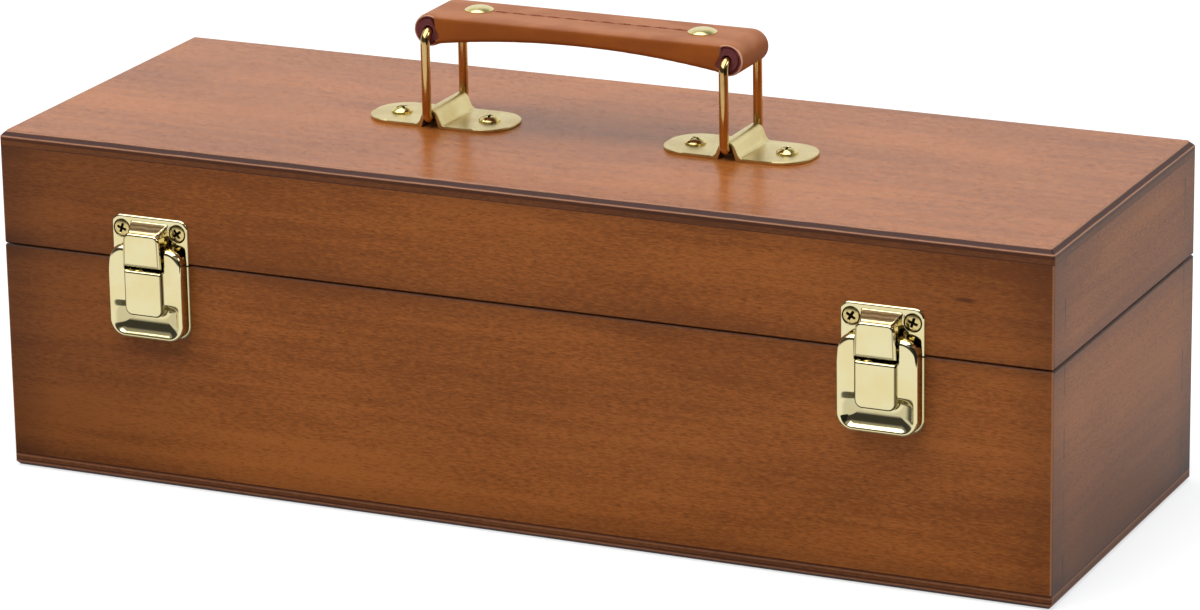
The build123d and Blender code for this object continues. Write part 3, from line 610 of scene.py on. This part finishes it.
def lever_rolls(x, z, skin):
    """The lever's face without its boss, at a depth under the skin."""
    radius = 0.8 + 1.5 * soft_step(z, -4, 4.5)
    face = 6.0 - skin - roll(lever_outline(x, z) - skin, max(radius - skin, 0.1))
    if skin == 0:
        face -= roll(beside_window(x, z), 0.35)
    bowl = bowl_outline(x, z)
    bowl = (bowl + math.sqrt(bowl * bowl + 0.09)) / 2
    climb = 7.0 - min(bowl, 7.0)
    dish = 2.55 - (10.9 - math.sqrt(10.9 ** 2 - climb * climb))
    return face - max(dish, 0.0) * soft_step(-z, 13.4, 16.8)


def lever_front(x, z):
    """The front of the lever: rolled shoulders, a dished thumb rest and the raised boss."""
    face = lever_rolls(x, z, 0)
    reach = boss_outline(x, z)
    if reach < 0:
        return face + roll(-reach, 0.6)
    return max(7.5 - roll(reach, 0.85) - roll(window_foot - z, 1.4), face)


def lever_behind(x, z):
    """The back of the lever: hollow, with side walls that reach back to the plate."""
    if lever_outline(x, z, no_limit) < 0.9:
        depth, height = lever_pivot
        back = depth - math.sqrt(max(2.3 ** 2 - (z - height) ** 2, 0.0)) if z > 2.5 else 1.7
        return min(max(back, 1.7) if z < height else back, lever_front(x, z) - 0.05)
    if lever_outline(x, z) < 0.9:
        return 3.65
    under_boss = soft_step(boss_outline(x, z, window_foot), 0.6, 1.0)
    return lever_rolls(x, z, 0.9) + 1.5 * under_boss


def lever_shade(x, z):
    """How dark the lever is painted with shade round its boss, along its window and in its dish."""
    reach = boss_outline(x, z)
    root = soft_step(0.55 - abs(reach - 0.3), 0.0, 0.35)
    window = soft_step(0.5 - abs(beside_window(x, z)), 0.0, 0.4) if z > window_foot else 0.0
    bowl = soft_step(bowl_outline(x, z, -14.5), 0.2, 1.6) * soft_step(-reach, 1.0, 2.0)
    return max(root, window, bowl * 0.3)


def claw_edge(x, z):
    """How far a point lies inside the claw's cap, which narrows upwards."""
    half = claw_half - 0.5 * (z - claw_foot) / (claw_head - claw_foot)
    ends = inset(x * 7.35 / half, z, 7.35, -20, claw_head, 2.6)
    return min(ends, z - claw_foot, half - abs(x))


def claw_front(x, z):
    """The front of the claw's cap, rolled back most at its top."""
    return 8.0 - roll(claw_edge(x, z), 0.6 + 0.39 * soft_step(z, 5, 10))


def claw_shade(x, z):
    """How dark the claw is painted with shade at its rolled edges."""
    return soft_step(0.35 - abs(claw_edge(x, z) - 0.75), 0.0, 0.3) * 0.8


latch_finish = brass("latch_brass", seen(240, 228, 180), seen(238, 222, 166), 0.07, (0.4, 0.4, 3))
pin_finish = brass("latch_pin_brass", seen(206, 182, 110), seen(180, 150, 80), 0.2, (4, 0.5, 0.5))
strike_mesh = pressed(
    plate_half, plate_gap, strike_head,
    lambda x, z: min(strike_outline(x, z), z - plate_gap), strike_front, strike_behind, strike_shade)
base_ear = [(0.5, -10.0), (1.0, -10.0), *disc(1.3)[30:], *disc(1.3)[:17], (1.0, -0.6), (0.5, -0.6)]
base_mesh = pressed(
    plate_half, base_foot, -plate_gap,
    lambda x, z: min(base_outline(x, z), -plate_gap - z),
    lambda x, z: plate_flat(x, z, base_outline(x, z), base_screws),
    lambda x, z: 0.0, base_shade, [(9.0, 9.9, base_ear)])
inner_ear = [(3.1, 0.7), (5.5, -0.8), (5.5, 4.3), (3.1, 4.3)]
lever_mesh = pressed(
    lever_half, lever_foot, lever_head, lever_edge, lever_front, lever_behind, lever_shade,
    [(window_half, 8.8, inner_ear), (10.1, 11.0, disc(1.6))])
cheek = disc(1.5, claw_pivot)[12:25] + [(7.5, 0.6), (7.5, 6.5), (6.0, 6.5)]
claw_mesh = pressed(
    claw_half, claw_foot, claw_head, claw_edge, claw_front, lambda x, z: 6.95, claw_shade,
    [(6.0, 6.9, cheek)], 0.5)
for side, middle in (("left", -latch_place), ("right", latch_place)):
    for piece, mesh, body in (
        ("base_plate", base_mesh, "base"), ("strike_plate", strike_mesh, "lid"),
        ("lever", lever_mesh, f"{side}_lever"), ("claw", claw_mesh, f"{side}_claw"),
    ):
        mesh = mesh.copy()
        mesh.transform(Matrix.Translation((middle / 1000, 0, 0)))
        node = f"latch_{side}_{piece}"
        add_piece(node + "_metal", mesh, latch_finish, body, "latch_brass", node)
    smooth_copy(f"latch_{side}_lever_pins", pin_finish, f"{side}_lever", "latch_brass")
    smooth_copy(f"latch_{side}_claw_pins", pin_finish, f"{side}_lever", "latch_brass")


# The handle's plates are satin brass strip with rounded ends, screwed to the lid. A
# tunnel is pressed across the middle of each, in which the wire loop turns.
def soft_copy(node, name, voxel, rounds):
    """A solid again as one soft surface, with its edges rounded off."""
    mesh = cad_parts[node].data.copy()
    work = joined_up(mesh)
    work.to_mesh(mesh)
    work.free()
    holder = bpy.data.objects.new(name, mesh)
    remesh = holder.modifiers.new("remesh", "REMESH")
    remesh.mode = "VOXEL"
    remesh.voxel_size = voxel
    remesh.use_smooth_shade = True
    smooth = holder.modifiers.new("smooth", "SMOOTH")
    smooth.factor = 0.5
    smooth.iterations = rounds
    return settled(holder)


plate_finish = brass("handle_plate_brass", seen(220, 204, 148), seen(204, 184, 124), 0.3,
                     (2.2, 0.25, 2.2), 0.012)
for side in ("left", "right"):
    node = f"handle_{side}_plate"
    mesh = soft_copy(node, node + "_holder", 0.00022, 5)
    add_piece(node + "_metal", evened(mesh, 50), plate_finish, "lid", "handle_brass", node)


# The loops are brass-plated wire, bent to a rectangle whose ends meet inside the
# tunnel. They stand up by friction.
wire_finish = brass("loop_wire_brass", seen(208, 176, 116), seen(190, 146, 84), 0.1, (3, 3, 0.4))
loop_place, wire_radius = 57.5, 1.7


def wire_loop(middle):
    """A loop of round wire across the box, with wide bends at the top and tight ones below."""
    path = []
    for centre_y, centre_z, radius, start in (
        (12.3, 132.4, 2.7, -90), (10.8, 157.5, 4.2, 0),
        (-10.8, 157.5, 4.2, 90), (-12.3, 132.4, 2.7, 180),
    ):
        for turn in range(9):
            angle = math.radians(start + turn * 11.25)
            path.append((centre_y + radius * math.cos(angle),
                         centre_z + radius * math.sin(angle), angle))
    rows, sides = len(path), 24
    spots, faces = [], []
    for y, z, angle in path:
        for side in range(sides):
            around = math.tau * side / sides
            away = wire_radius * math.cos(around)
            spots.append(((middle + wire_radius * math.sin(around)) / 1000,
                          (y + away * math.cos(angle)) / 1000, (z + away * math.sin(angle)) / 1000))
    for row in range(rows):
        here, after = row * sides, (row + 1) % rows * sides
        for side in range(sides):
            beside = (side + 1) % sides
            faces.append([here + side, after + side, after + beside, here + beside])
    mesh = bpy.data.meshes.new("wire_loop")
    mesh.from_pydata(spots, [], faces)
    return evened(outward(mesh), 60)


for side, middle in (("left", -loop_place), ("right", loop_place)):
    node = f"handle_{side}_loop"
    add_piece(node + "_wire", wire_loop(middle), wire_finish, f"{side}_loop", "wire_brass", node)


# The grip is a strap folded round the loops' bars, and an outer leather wrapped
# round it. The four mouths show the reddish flesh side and a pale cut edge.
leather_top_sheen = seen(162, 106, 74)
leather_side = seen(155, 83, 28)
leather_deep = seen(116, 58, 26)
flesh_red = seen(150, 70, 70)
flesh_dark = seen(78, 30, 34)
cut_pale = seen(206, 158, 128)
bar_place, bar_level = 57.6, 161.6
mouth_radius, mouth_depth = 5.4, 0.9


def leather():
    """Smooth vegetable-tanned leather: a fine pebble, faint creases and cut edges."""
    finish = Finish("grip_leather", IOR=1.22)
    x, y, z = finish.place()
    face_z = finish.facing()[2]
    blotch = finish.noise(x * 0.05, y * 0.09, z * 0.09, 3.0)
    cells = {"Vector": finish.joined(x * 1.3, y * 1.6, z * 1.6), "Scale": 1.0}
    pebble = finish.node("ShaderNodeTexVoronoi", {"feature": "DISTANCE_TO_EDGE"}, cells)
    pebble = finish.rise(pebble, 0.0, 0.25)
    crease = finish.noise(x * 0.5, y * 0.12, z * 0.12, 3.0)
    # Painted sheen: the faces that look up take a paler, pinker colour than the sides.
    colour = finish.mixed(finish.rise(face_z, 0.1, 0.75), leather_side, leather_top_sheen)
    colour = finish.mixed(finish.rise(blotch, 0.62, 0.38) * 0.35, colour, leather_deep)
    colour = finish.mixed((1 - pebble) * 0.07, colour, leather_deep)
    seam = finish.rise(abs(y), 1.0, 0.4) * finish.rise(abs(x), 38.5, 37.5)
    seam = seam * finish.rise(face_z, 0.5, 0.8)
    colour = finish.mixed(seam * 0.6, colour, leather_deep)
    away = finish.joined(abs(x) - bar_place, 0.0, z - bar_level)
    from_bar = finish.node("ShaderNodeVectorMath", {"operation": "LENGTH"}, {0: away}, "Value")
    mouth = finish.rise(abs(y), 11.0, 11.5) * finish.rise(abs(x), 54.5, 55.5)
    mouth = mouth * finish.rise(face_z, 0.8, 0.6)
    colour = finish.mixed(finish.rise(from_bar, 5.9, 5.5) * mouth, colour, cut_pale)
    fluff = finish.rise(finish.noise(x * 3, y * 3, z * 3), 0.4, 0.6)
    inside = finish.mixed(fluff, flesh_dark, flesh_red)
    colour = finish.mixed(finish.rise(from_bar, 5.2, 5.0) * mouth, colour, inside)
    finish.feed("Base Color", colour)
    finish.feed("Roughness", 0.5 + blotch * 0.12 - pebble * 0.06)
    finish.relief(pebble * 0.4 + crease * 0.6, 0.02)
    return finish.material


def flesh():
    """The strap inside, with its rough reddish flesh side out."""
    finish = Finish("strap_flesh")
    x, y, z = finish.place()
    fluff = finish.noise(x * 2.6, y * 2.6, z * 2.6, 4.0, 0.7)
    finish.feed("Base Color", finish.mixed(finish.rise(fluff, 0.4, 0.7), flesh_dark, flesh_red))
    finish.feed("Roughness", 0.85 + fluff * 0.1)
    finish.relief(fluff, 0.25)
    return finish.material


leather_mesh = soft_copy("handle_leather", "leather_holder", 0.0005, 8)
for point in leather_mesh.vertices:
    x, y, z = point.co
    from_bar = math.hypot(abs(x) - bar_place / 1000, z - bar_level / 1000) * 1000
    if abs(y) > 0.0105 and abs(x) > 0.055 and from_bar < mouth_radius:
        drop = mouth_depth * soft_step(mouth_radius - from_bar, 0.0, 0.5) / 1000
        point.co.y -= math.copysign(drop, y)
add_piece("handle_leather_wrap", leather_mesh, leather(), "grip", "grip_leather", "handle_leather")
surfaced(flesh(), "handle_core")


# Screws and rivets are turned metal: a domed or countersunk head, a shank and a
# point or a hammered tail. The screws have a cross recess, each turned its own way.
def new_tree(name, inputs):
    """A Geometry Nodes tree with named inputs, and the values that come in by them."""
    group = bpy.data.node_groups.new(name, "GeometryNodeTree")
    group.interface.new_socket("Geometry", in_out="OUTPUT", socket_type="NodeSocketGeometry")
    for socket, kind in inputs:
        group.interface.new_socket(socket, in_out="INPUT", socket_type="NodeSocket" + kind)
    tree = Tree(group)
    given = tree.node("NodeGroupInput").socket.node.outputs
    return group, tree, {socket.name: Flow(tree, socket) for socket in given if socket.name}


def ended(tree, places, metal):
    """Close a tree: its instances made real, in their material."""
    made = tree.node("GeometryNodeRealizeInstances", inputs={"Geometry": places})
    made = tree.node("GeometryNodeSetMaterial", inputs={"Geometry": made, "Material": metal})
    tree.node("NodeGroupOutput", inputs={"Geometry": made})


def in_row(tree, count, spacing, level=0.0):
    """Points in a row along the box, evenly about the middle."""
    start = tree.joined(spacing * -0.5 * (count - 1), 0.0, level)
    return tree.node("GeometryNodeMeshLine", inputs={
        "Count": count, "Start Location": start, "Offset": tree.joined(spacing, 0.0, 0.0)})


def turned_tree():
    """Geometry Nodes that turn one fastener and set it at two or four places."""
    group, tree, sizes = new_tree("turned_fastener", (
        ("Middle", "Vector"), ("Facing", "Vector"), ("Pair Spacing", "Float"),
        ("Each Spacing", "Float"), ("Each Count", "Int"), ("Head Radius", "Float"),
        ("Crown", "Float"), ("Rim", "Float"), ("Neck", "Float"), ("Shank Radius", "Float"),
        ("Shank Length", "Float"), ("Tail Radius", "Float"), ("Tail Height", "Float"),
        ("Cross Reach", "Float"), ("Cross Width", "Float"), ("Cross Depth", "Float"),
        ("Seed", "Int"), ("Metal", "Material"),
    ))
    grid = tree.node("GeometryNodeMeshGrid", inputs={
        "Size X": 1.0, "Size Y": 1.0, "Vertices X": 61, "Vertices Y": 73})
    across, round_it, _ = tree.parts(tree.node("GeometryNodeInputPosition"))
    run = across + 0.5
    angle = (round_it + 0.5) * math.tau

    def stretch(low, high):
        """How far the profile has gone along one of its stretches."""
        return tree.node("ShaderNodeMapRange", inputs={"Value": run, "From Min": low, "From Max": high})

    top = stretch(0.0, 0.45)
    neck = stretch(0.5, 0.6)
    head, shank, tail = sizes["Head Radius"], sizes["Shank Radius"], sizes["Tail Radius"]
    radius = head * top - (head - shank) * neck + (tail - shank) * stretch(0.85, 0.9)
    radius = radius - tail * stretch(0.95, 1.0)
    level = sizes["Crown"] * (1 - top * top * top) - sizes["Rim"] * stretch(0.45, 0.5)
    level = level - sizes["Neck"] * neck - sizes["Shank Length"] * stretch(0.6, 0.85)
    level = level - sizes["Tail Height"] * stretch(0.9, 0.95)
    x = radius * angle.worked("COSINE")
    y = radius * angle.worked("SINE")
    nearest = abs(x).worked("MINIMUM", abs(y))
    half = sizes["Cross Width"] * 0.5
    reach = sizes["Cross Reach"]
    recess = tree.rise(nearest, half * 1.12, half * 0.8)
    recess = recess * tree.rise(radius, reach * 1.08, reach * 0.92) * tree.rise(run, 0.46, 0.44)
    level = level - recess * sizes["Cross Depth"] * (1 - radius / (reach + 1e-6) * 0.45)
    # The recess is stored for the finish, which paints shade down in it.
    turned = tree.node("GeometryNodeStoreNamedAttribute", {"data_type": "FLOAT", "domain": "POINT"},
                       {"Geometry": grid, "Name": "recess", "Value": recess})
    turned = tree.node("GeometryNodeSetPosition", inputs={
        "Geometry": turned, "Position": tree.joined(x, y, level)})
    turned = tree.node("GeometryNodeMergeByDistance", inputs={"Geometry": turned, "Distance": 1e-6})

    pairs = in_row(tree, tree.node("FunctionNodeInputInt", {"integer": 2}), sizes["Pair Spacing"])
    each = in_row(tree, sizes["Each Count"], sizes["Each Spacing"])
    places = tree.node("GeometryNodeInstanceOnPoints", inputs={"Points": pairs, "Instance": each})
    places = tree.node("GeometryNodeRealizeInstances", inputs={"Geometry": places})
    places = tree.node("GeometryNodeSetPosition", inputs={
        "Geometry": places, "Offset": sizes["Middle"]})
    facing = tree.node("FunctionNodeEulerToRotation", inputs={"Euler": sizes["Facing"]})
    set_out = tree.node("GeometryNodeInstanceOnPoints", inputs={
        "Points": places, "Instance": turned, "Rotation": facing})
    twist = tree.node("FunctionNodeRandomValue", {"data_type": "FLOAT"},
                      {2: 0.0, 3: math.pi, "Seed": sizes["Seed"]}, 1)
    set_out = tree.node("GeometryNodeRotateInstances", inputs={
        "Instances": set_out, "Rotation": tree.joined(0.0, 0.0, twist), "Local Space": True})
    ended(tree, set_out, sizes["Metal"])
    return group


fastener = turned_tree()


def grown(name, group, sizes):
    """The plain mesh that a tree makes from its named sizes."""
    holder = bpy.data.objects.new(name, bpy.data.meshes.new(name))
    maker = holder.modifiers.new("maker", "NODES")
    maker.node_group = group
    for item in group.interface.items_tree:
        if item.in_out == "INPUT":
            maker[item.identifier] = sizes[item.name]
    return outward(settled(holder))


def fastened(name, node, body, slot, material, seed, **sizes):
    """A group of like fasteners, in place of their solids, from sizes in millimetres."""
    wanted = {"Each Count": 2, "Rim": 0.0, "Tail Height": 0.0, "Seed": seed, "Metal": material}
    for key, value in sizes.items():
        wanted[key.replace("_", " ")] = value
    wanted.setdefault("Tail Radius", wanted["Shank Radius"])
    for key in wanted:
        if isinstance(wanted[key], float):
            wanted[key] = wanted[key] / 1000
    wanted["Middle"] = [part / 1000 for part in wanted["Middle"]]
    add_piece(name, evened(grown(name, fastener, wanted), 40), material, body, slot, node)


def screw_metal(name, light, dark, rough):
    """Screw metal that is dull down in the recess, and painted dark there as shade."""
    finish = Finish(name, Metallic=1.0)
    x, y, z = finish.place()
    recess = finish.node("ShaderNodeAttribute", {"attribute_name": "recess"}, output="Fac")
    tarnish = finish.noise(x * 0.9, y * 0.9, z * 0.9, 4.0, 0.65)
    # The tarnish is random tone; the recess share is painted shade.
    share = finish.rise(tarnish, 0.5, 0.7) * 0.3 + finish.rise(recess, 0.1, 0.5)
    finish.feed("Base Color", finish.mixed(share.worked("MINIMUM", 1.0), light, dark))
    finish.feed("Roughness", rough + tarnish * 0.1 + recess * 0.3)
    finish.relief(tarnish, 0.01)
    return finish.material


front_screw_metal = screw_metal("latch_screw_brass", seen(224, 202, 138), seen(30, 22, 12), 0.16)
pan_screw_metal = screw_metal("handle_screw_brass", seen(222, 202, 136), seen(52, 38, 18), 0.14)
back_screw_metal = screw_metal("hinge_screw_brass", seen(206, 180, 110), seen(80, 62, 32), 0.24)
rivet_metal = screw_metal("rivet_brass", seen(226, 212, 150), seen(196, 172, 104), 0.2)
cross = {"Cross_Width": 0.9, "Cross_Depth": 0.9}
latch_screw = {
    "Facing": [math.pi / 2, 0, 0], "Pair_Spacing": 2 * latch_place, "Head_Radius": 2.8,
    "Crown": 0.3, "Neck": 1.6, "Shank_Radius": 1.2, "Shank_Length": 7.0, "Tail_Radius": 0.3,
    "Cross_Reach": 1.8, **cross,
}
hinge_screw = {
    "Facing": [-math.pi / 2, 0, 0], "Pair_Spacing": 240.0, "Each_Spacing": 20.0, "Head_Radius": 2.5,
    "Crown": 0.45, "Neck": 1.4, "Shank_Radius": 1.1, "Shank_Length": 6.0, "Tail_Radius": 0.3,
    "Cross_Reach": 1.6, **cross,
}
fastened("latch_strike_screw_heads", "latch_strike_screws", "lid", "screw_brass", front_screw_metal, 3,
         Middle=(0, -73, 95.5), Each_Spacing=22.2, **latch_screw)
fastened("latch_base_screw_heads", "latch_base_screws", "base", "screw_brass", front_screw_metal, 5,
         Middle=(0, -73, 70.5), Each_Spacing=10.0, **latch_screw)
fastened("hinge_base_screw_heads", "hinge_base_screws", "base", "screw_brass", back_screw_metal, 7,
         Middle=(0, 73.2, 74.5), **hinge_screw)
fastened("hinge_lid_screw_heads", "hinge_lid_screws", "lid", "screw_brass", back_screw_metal, 8,
         Middle=(0, 73.2, 93.5), **hinge_screw)
fastened("handle_screw_heads", "handle_screws", "lid", "screw_brass", pan_screw_metal, 12,
         Middle=(0, 0, 127.7), Facing=[0, 0, 0], Pair_Spacing=2 * loop_place, Each_Spacing=34.8,
         Head_Radius=3.9, Crown=1.5, Rim=0.5, Neck=0.0, Shank_Radius=1.75, Shank_Length=10.5,
         Tail_Radius=1.5, Cross_Reach=2.1, Cross_Width=0.9, Cross_Depth=1.1)
fastened("rivet_heads", "handle_rivets", "grip", "latch_brass", rivet_metal, 1,
         Middle=(0, 0, 167.9), Facing=[0, 0, 0], Pair_Spacing=86.4, Each_Spacing=0.0, Each_Count=1,
         Head_Radius=5.2, Crown=1.25, Rim=0.3, Neck=0.0, Shank_Radius=1.5, Shank_Length=8.7,
         Tail_Radius=3.0, Tail_Height=0.8, Cross_Reach=0.0, Cross_Width=0.0, Cross_Depth=0.0)


# The handle's screws end in zinc-plated hexagon nuts inside the lid, drawn up
# against the underside of the top panel.
def nut_metal():
    """Zinc-plated steel: a cool grey with faint spangle and turning marks."""
    finish = Finish("nut_steel", Metallic=1.0)
    x, y, z = finish.place()
    spangle = finish.noise(x * 0.8, y * 0.8, z * 0.8, 3.0, 0.7)
    colour = finish.mixed(finish.rise(spangle, 0.35, 0.65), seen(150, 152, 156), seen(196, 198, 202))
    finish.feed("Base Color", colour)
    finish.feed("Roughness", 0.28 + spangle * 0.2)
    finish.relief(spangle, 0.008)
    return finish.material


smooth_copy("handle_nuts", nut_metal(), "lid", "nut_steel", 30)


# A row of stitches in dark waxed thread runs along the grip, from rivet to rivet,
# and holds the outer leather on the strap.
def stitch_tree():
    """Geometry Nodes that sew a straight row of stitches, each a little out of line."""
    group, tree, sizes = new_tree("stitch_row", (
        ("Count", "Int"), ("Pitch", "Float"), ("Length", "Float"), ("Thickness", "Float"),
        ("Height", "Float"), ("Wander", "Float"), ("Seed", "Int"), ("Thread", "Material"),
    ))
    row = in_row(tree, sizes["Count"], sizes["Pitch"], sizes["Height"])
    stitch = tree.node("GeometryNodeMeshUVSphere", inputs={"Segments": 16, "Rings": 10, "Radius": 1.0})
    thick = sizes["Thickness"] * 0.5
    stitch = tree.node("GeometryNodeTransform", inputs={
        "Geometry": stitch, "Scale": tree.joined(sizes["Length"] * 0.5, thick, thick)})
    wander = sizes["Wander"]
    turn = tree.node("FunctionNodeRandomValue", {"data_type": "FLOAT"},
                     {2: wander * -1, 3: wander, "Seed": sizes["Seed"]}, 1)
    set_out = tree.node("GeometryNodeInstanceOnPoints", inputs={
        "Points": row, "Instance": stitch, "Rotation": tree.joined(0.0, 0.0, turn)})
    ended(tree, set_out, sizes["Thread"])
    return group


def thread():
    """Waxed thread with the twist of its strands."""
    finish = Finish("waxed_thread", IOR=1.35)
    x, y, z = finish.place()
    twist = finish.noise(x * 2.5 + y * 2.5, y * 0.6, z * 0.6, 2.0)
    colour = finish.mixed(finish.rise(twist, 0.4, 0.6), seen(86, 32, 20), seen(140, 64, 42))
    finish.feed("Base Color", colour)
    finish.feed("Roughness", 0.5 + twist * 0.2)
    finish.relief(twist, 0.05)
    return finish.material


waxed = thread()
stitches = grown("stitches", stitch_tree(), {
    "Count": 11, "Pitch": 0.0069, "Length": 0.0059, "Thickness": 0.0008, "Height": 0.1675,
    "Wander": 0.06, "Seed": 4, "Thread": waxed})
add_piece("stitch_row", stitches, waxed, "grip", "grip_leather")


# Floor, lights and surroundings: a plain pale table with a white backdrop, one large
# soft light high at the left, and a dark studio in front, so that polished metal has
# both bright and dark to mirror.
def floor_white():
    """A pale floor that keeps the object's shadow and is white round it."""
    finish = Finish("floor_white")
    finish.tree.nodes.remove(finish.shader)
    rays = finish.node("ShaderNodeLightPath", output="Is Camera Ray")
    known = rays * 0.62 + rays.other("Is Glossy Ray") * 0.3 + rays.other("Is Transmission Ray") * 0.62
    plain = finish.node("ShaderNodeBsdfDiffuse", inputs={"Color": (0.42, 0.42, 0.42, 1)})
    glow = finish.node("ShaderNodeEmission", inputs={"Color": (1, 1, 1, 1), "Strength": known})
    both = finish.node("ShaderNodeAddShader", inputs={0: plain, 1: glow})
    leaving = finish.tree.nodes["Material Output"]
    finish.tree.links.new(both.socket, leaving.inputs["Surface"])
    return finish.material


floor_mesh = bpy.data.meshes.new("floor")
floor_mesh.from_pydata([(-8, -8, 0), (8, -8, 0), (8, 8, 0), (-8, 8, 0)], [], [(0, 1, 2, 3)])
floor_mesh.materials.append(floor_white())
floor = bpy.data.objects.new("floor", floor_mesh)
floor.location.z = -0.0003
bpy.context.scene.collection.objects.link(floor)


def mirrored_only(finish, points, faces):
    """Set up a surface round the box that shows only in reflections."""
    name = finish.material.name
    mesh = bpy.data.meshes.new(name)
    mesh.from_pydata(points, [], faces)
    mesh.materials.append(finish.material)
    surface = bpy.data.objects.new(name, mesh)
    bpy.context.scene.collection.objects.link(surface)
    surface.visible_camera = False
    surface.visible_diffuse = False
    surface.visible_shadow = False
    surface.visible_transmission = False


def dark_card():
    """A curved black card that stands at the right of the front, seen only in reflections as the
    studio's unlit side.
    """
    turns = [math.radians(-58 + step * 6.5) for step in range(13)]
    points = [(0.62 * math.cos(turn), 0.62 * math.sin(turn), z) for turn in turns for z in (0.0, 0.5)]
    faces = [(2 * n, 2 * n + 2, 2 * n + 3, 2 * n + 1) for n in range(12)]
    mirrored_only(Finish("black_card", Roughness=1.0, Base_Color=(0.01, 0.01, 0.01, 1)), points, faces)


def reflected_floor_shadow():
    """Painted shadow on the table close to the front, seen only in reflections, which fades out to its
    sides.
    """
    finish = Finish("reflected_floor_shadow", Roughness=1.0, Base_Color=(0.02, 0.02, 0.016, 1))
    x, y, _ = finish.place()
    near = finish.rise(y, -190, -120) * finish.rise(abs(x), 330, 240)
    finish.feed("Alpha", near * 0.9)
    points = [(-0.35, -0.2, 0), (0.35, -0.2, 0), (0.35, -0.078, 0), (-0.35, -0.078, 0)]
    mirrored_only(finish, points, [(0, 1, 2, 3)])


dark_card()
reflected_floor_shadow()


def soft_light(name, place, aim, width, power, tint=(1, 1, 1)):
    """A large square soft light that points at a spot."""
    light = bpy.data.lights.new(name, "AREA")
    light.shape = "SQUARE"
    light.size = width
    light.energy = power
    light.color = tint
    lamp = bpy.data.objects.new(name, light)
    lamp.location = place
    lamp.rotation_euler = (Vector(aim) - Vector(place)).to_track_quat("-Z", "Y").to_euler()
    bpy.context.scene.collection.objects.link(lamp)


soft_light("key_light", (-0.5, -0.8, 2.8), (0, 0, 0.08), 3.6, 134)
soft_light("fill_light", (2.4, 0.3, 1.4), (0, 0, 0.06), 1.2, 26, (0.8, 0.93, 1.0))

bpy.context.scene.view_settings.view_transform = "Standard"
world = bpy.data.worlds.new("white_backdrop")
bpy.context.scene.world = world
world.use_nodes = True
sky = Tree(world.node_tree)
_, towards_y, towards_z = sky.parts(sky.node("ShaderNodeTexCoord", output="Generated"))
rays = sky.node("ShaderNodeLightPath", output="Is Camera Ray")
in_front = sky.rise(towards_y, 0.35, -0.1)
high = sky.rise(towards_z, -0.02, 0.1)
panel = sky.rise(abs(towards_z - 0.62), 0.16, 0.05) * 0.35
overhead = sky.rise(towards_z, 0.55, 0.85)
gloss = (1 - in_front * (0.3 + high * 0.64 - panel)) * (1 - overhead * 0.82)
mirrored = rays.other("Is Glossy Ray") + rays.other("Is Transmission Ray")
level = rays + mirrored * gloss + (1 - rays - mirrored) * 0.32
sky.tree.links.new(level.socket, world.node_tree.nodes["Background"].inputs["Strength"])
world.node_tree.nodes["Background"].inputs["Color"].default_value = (1, 1, 1, 1)
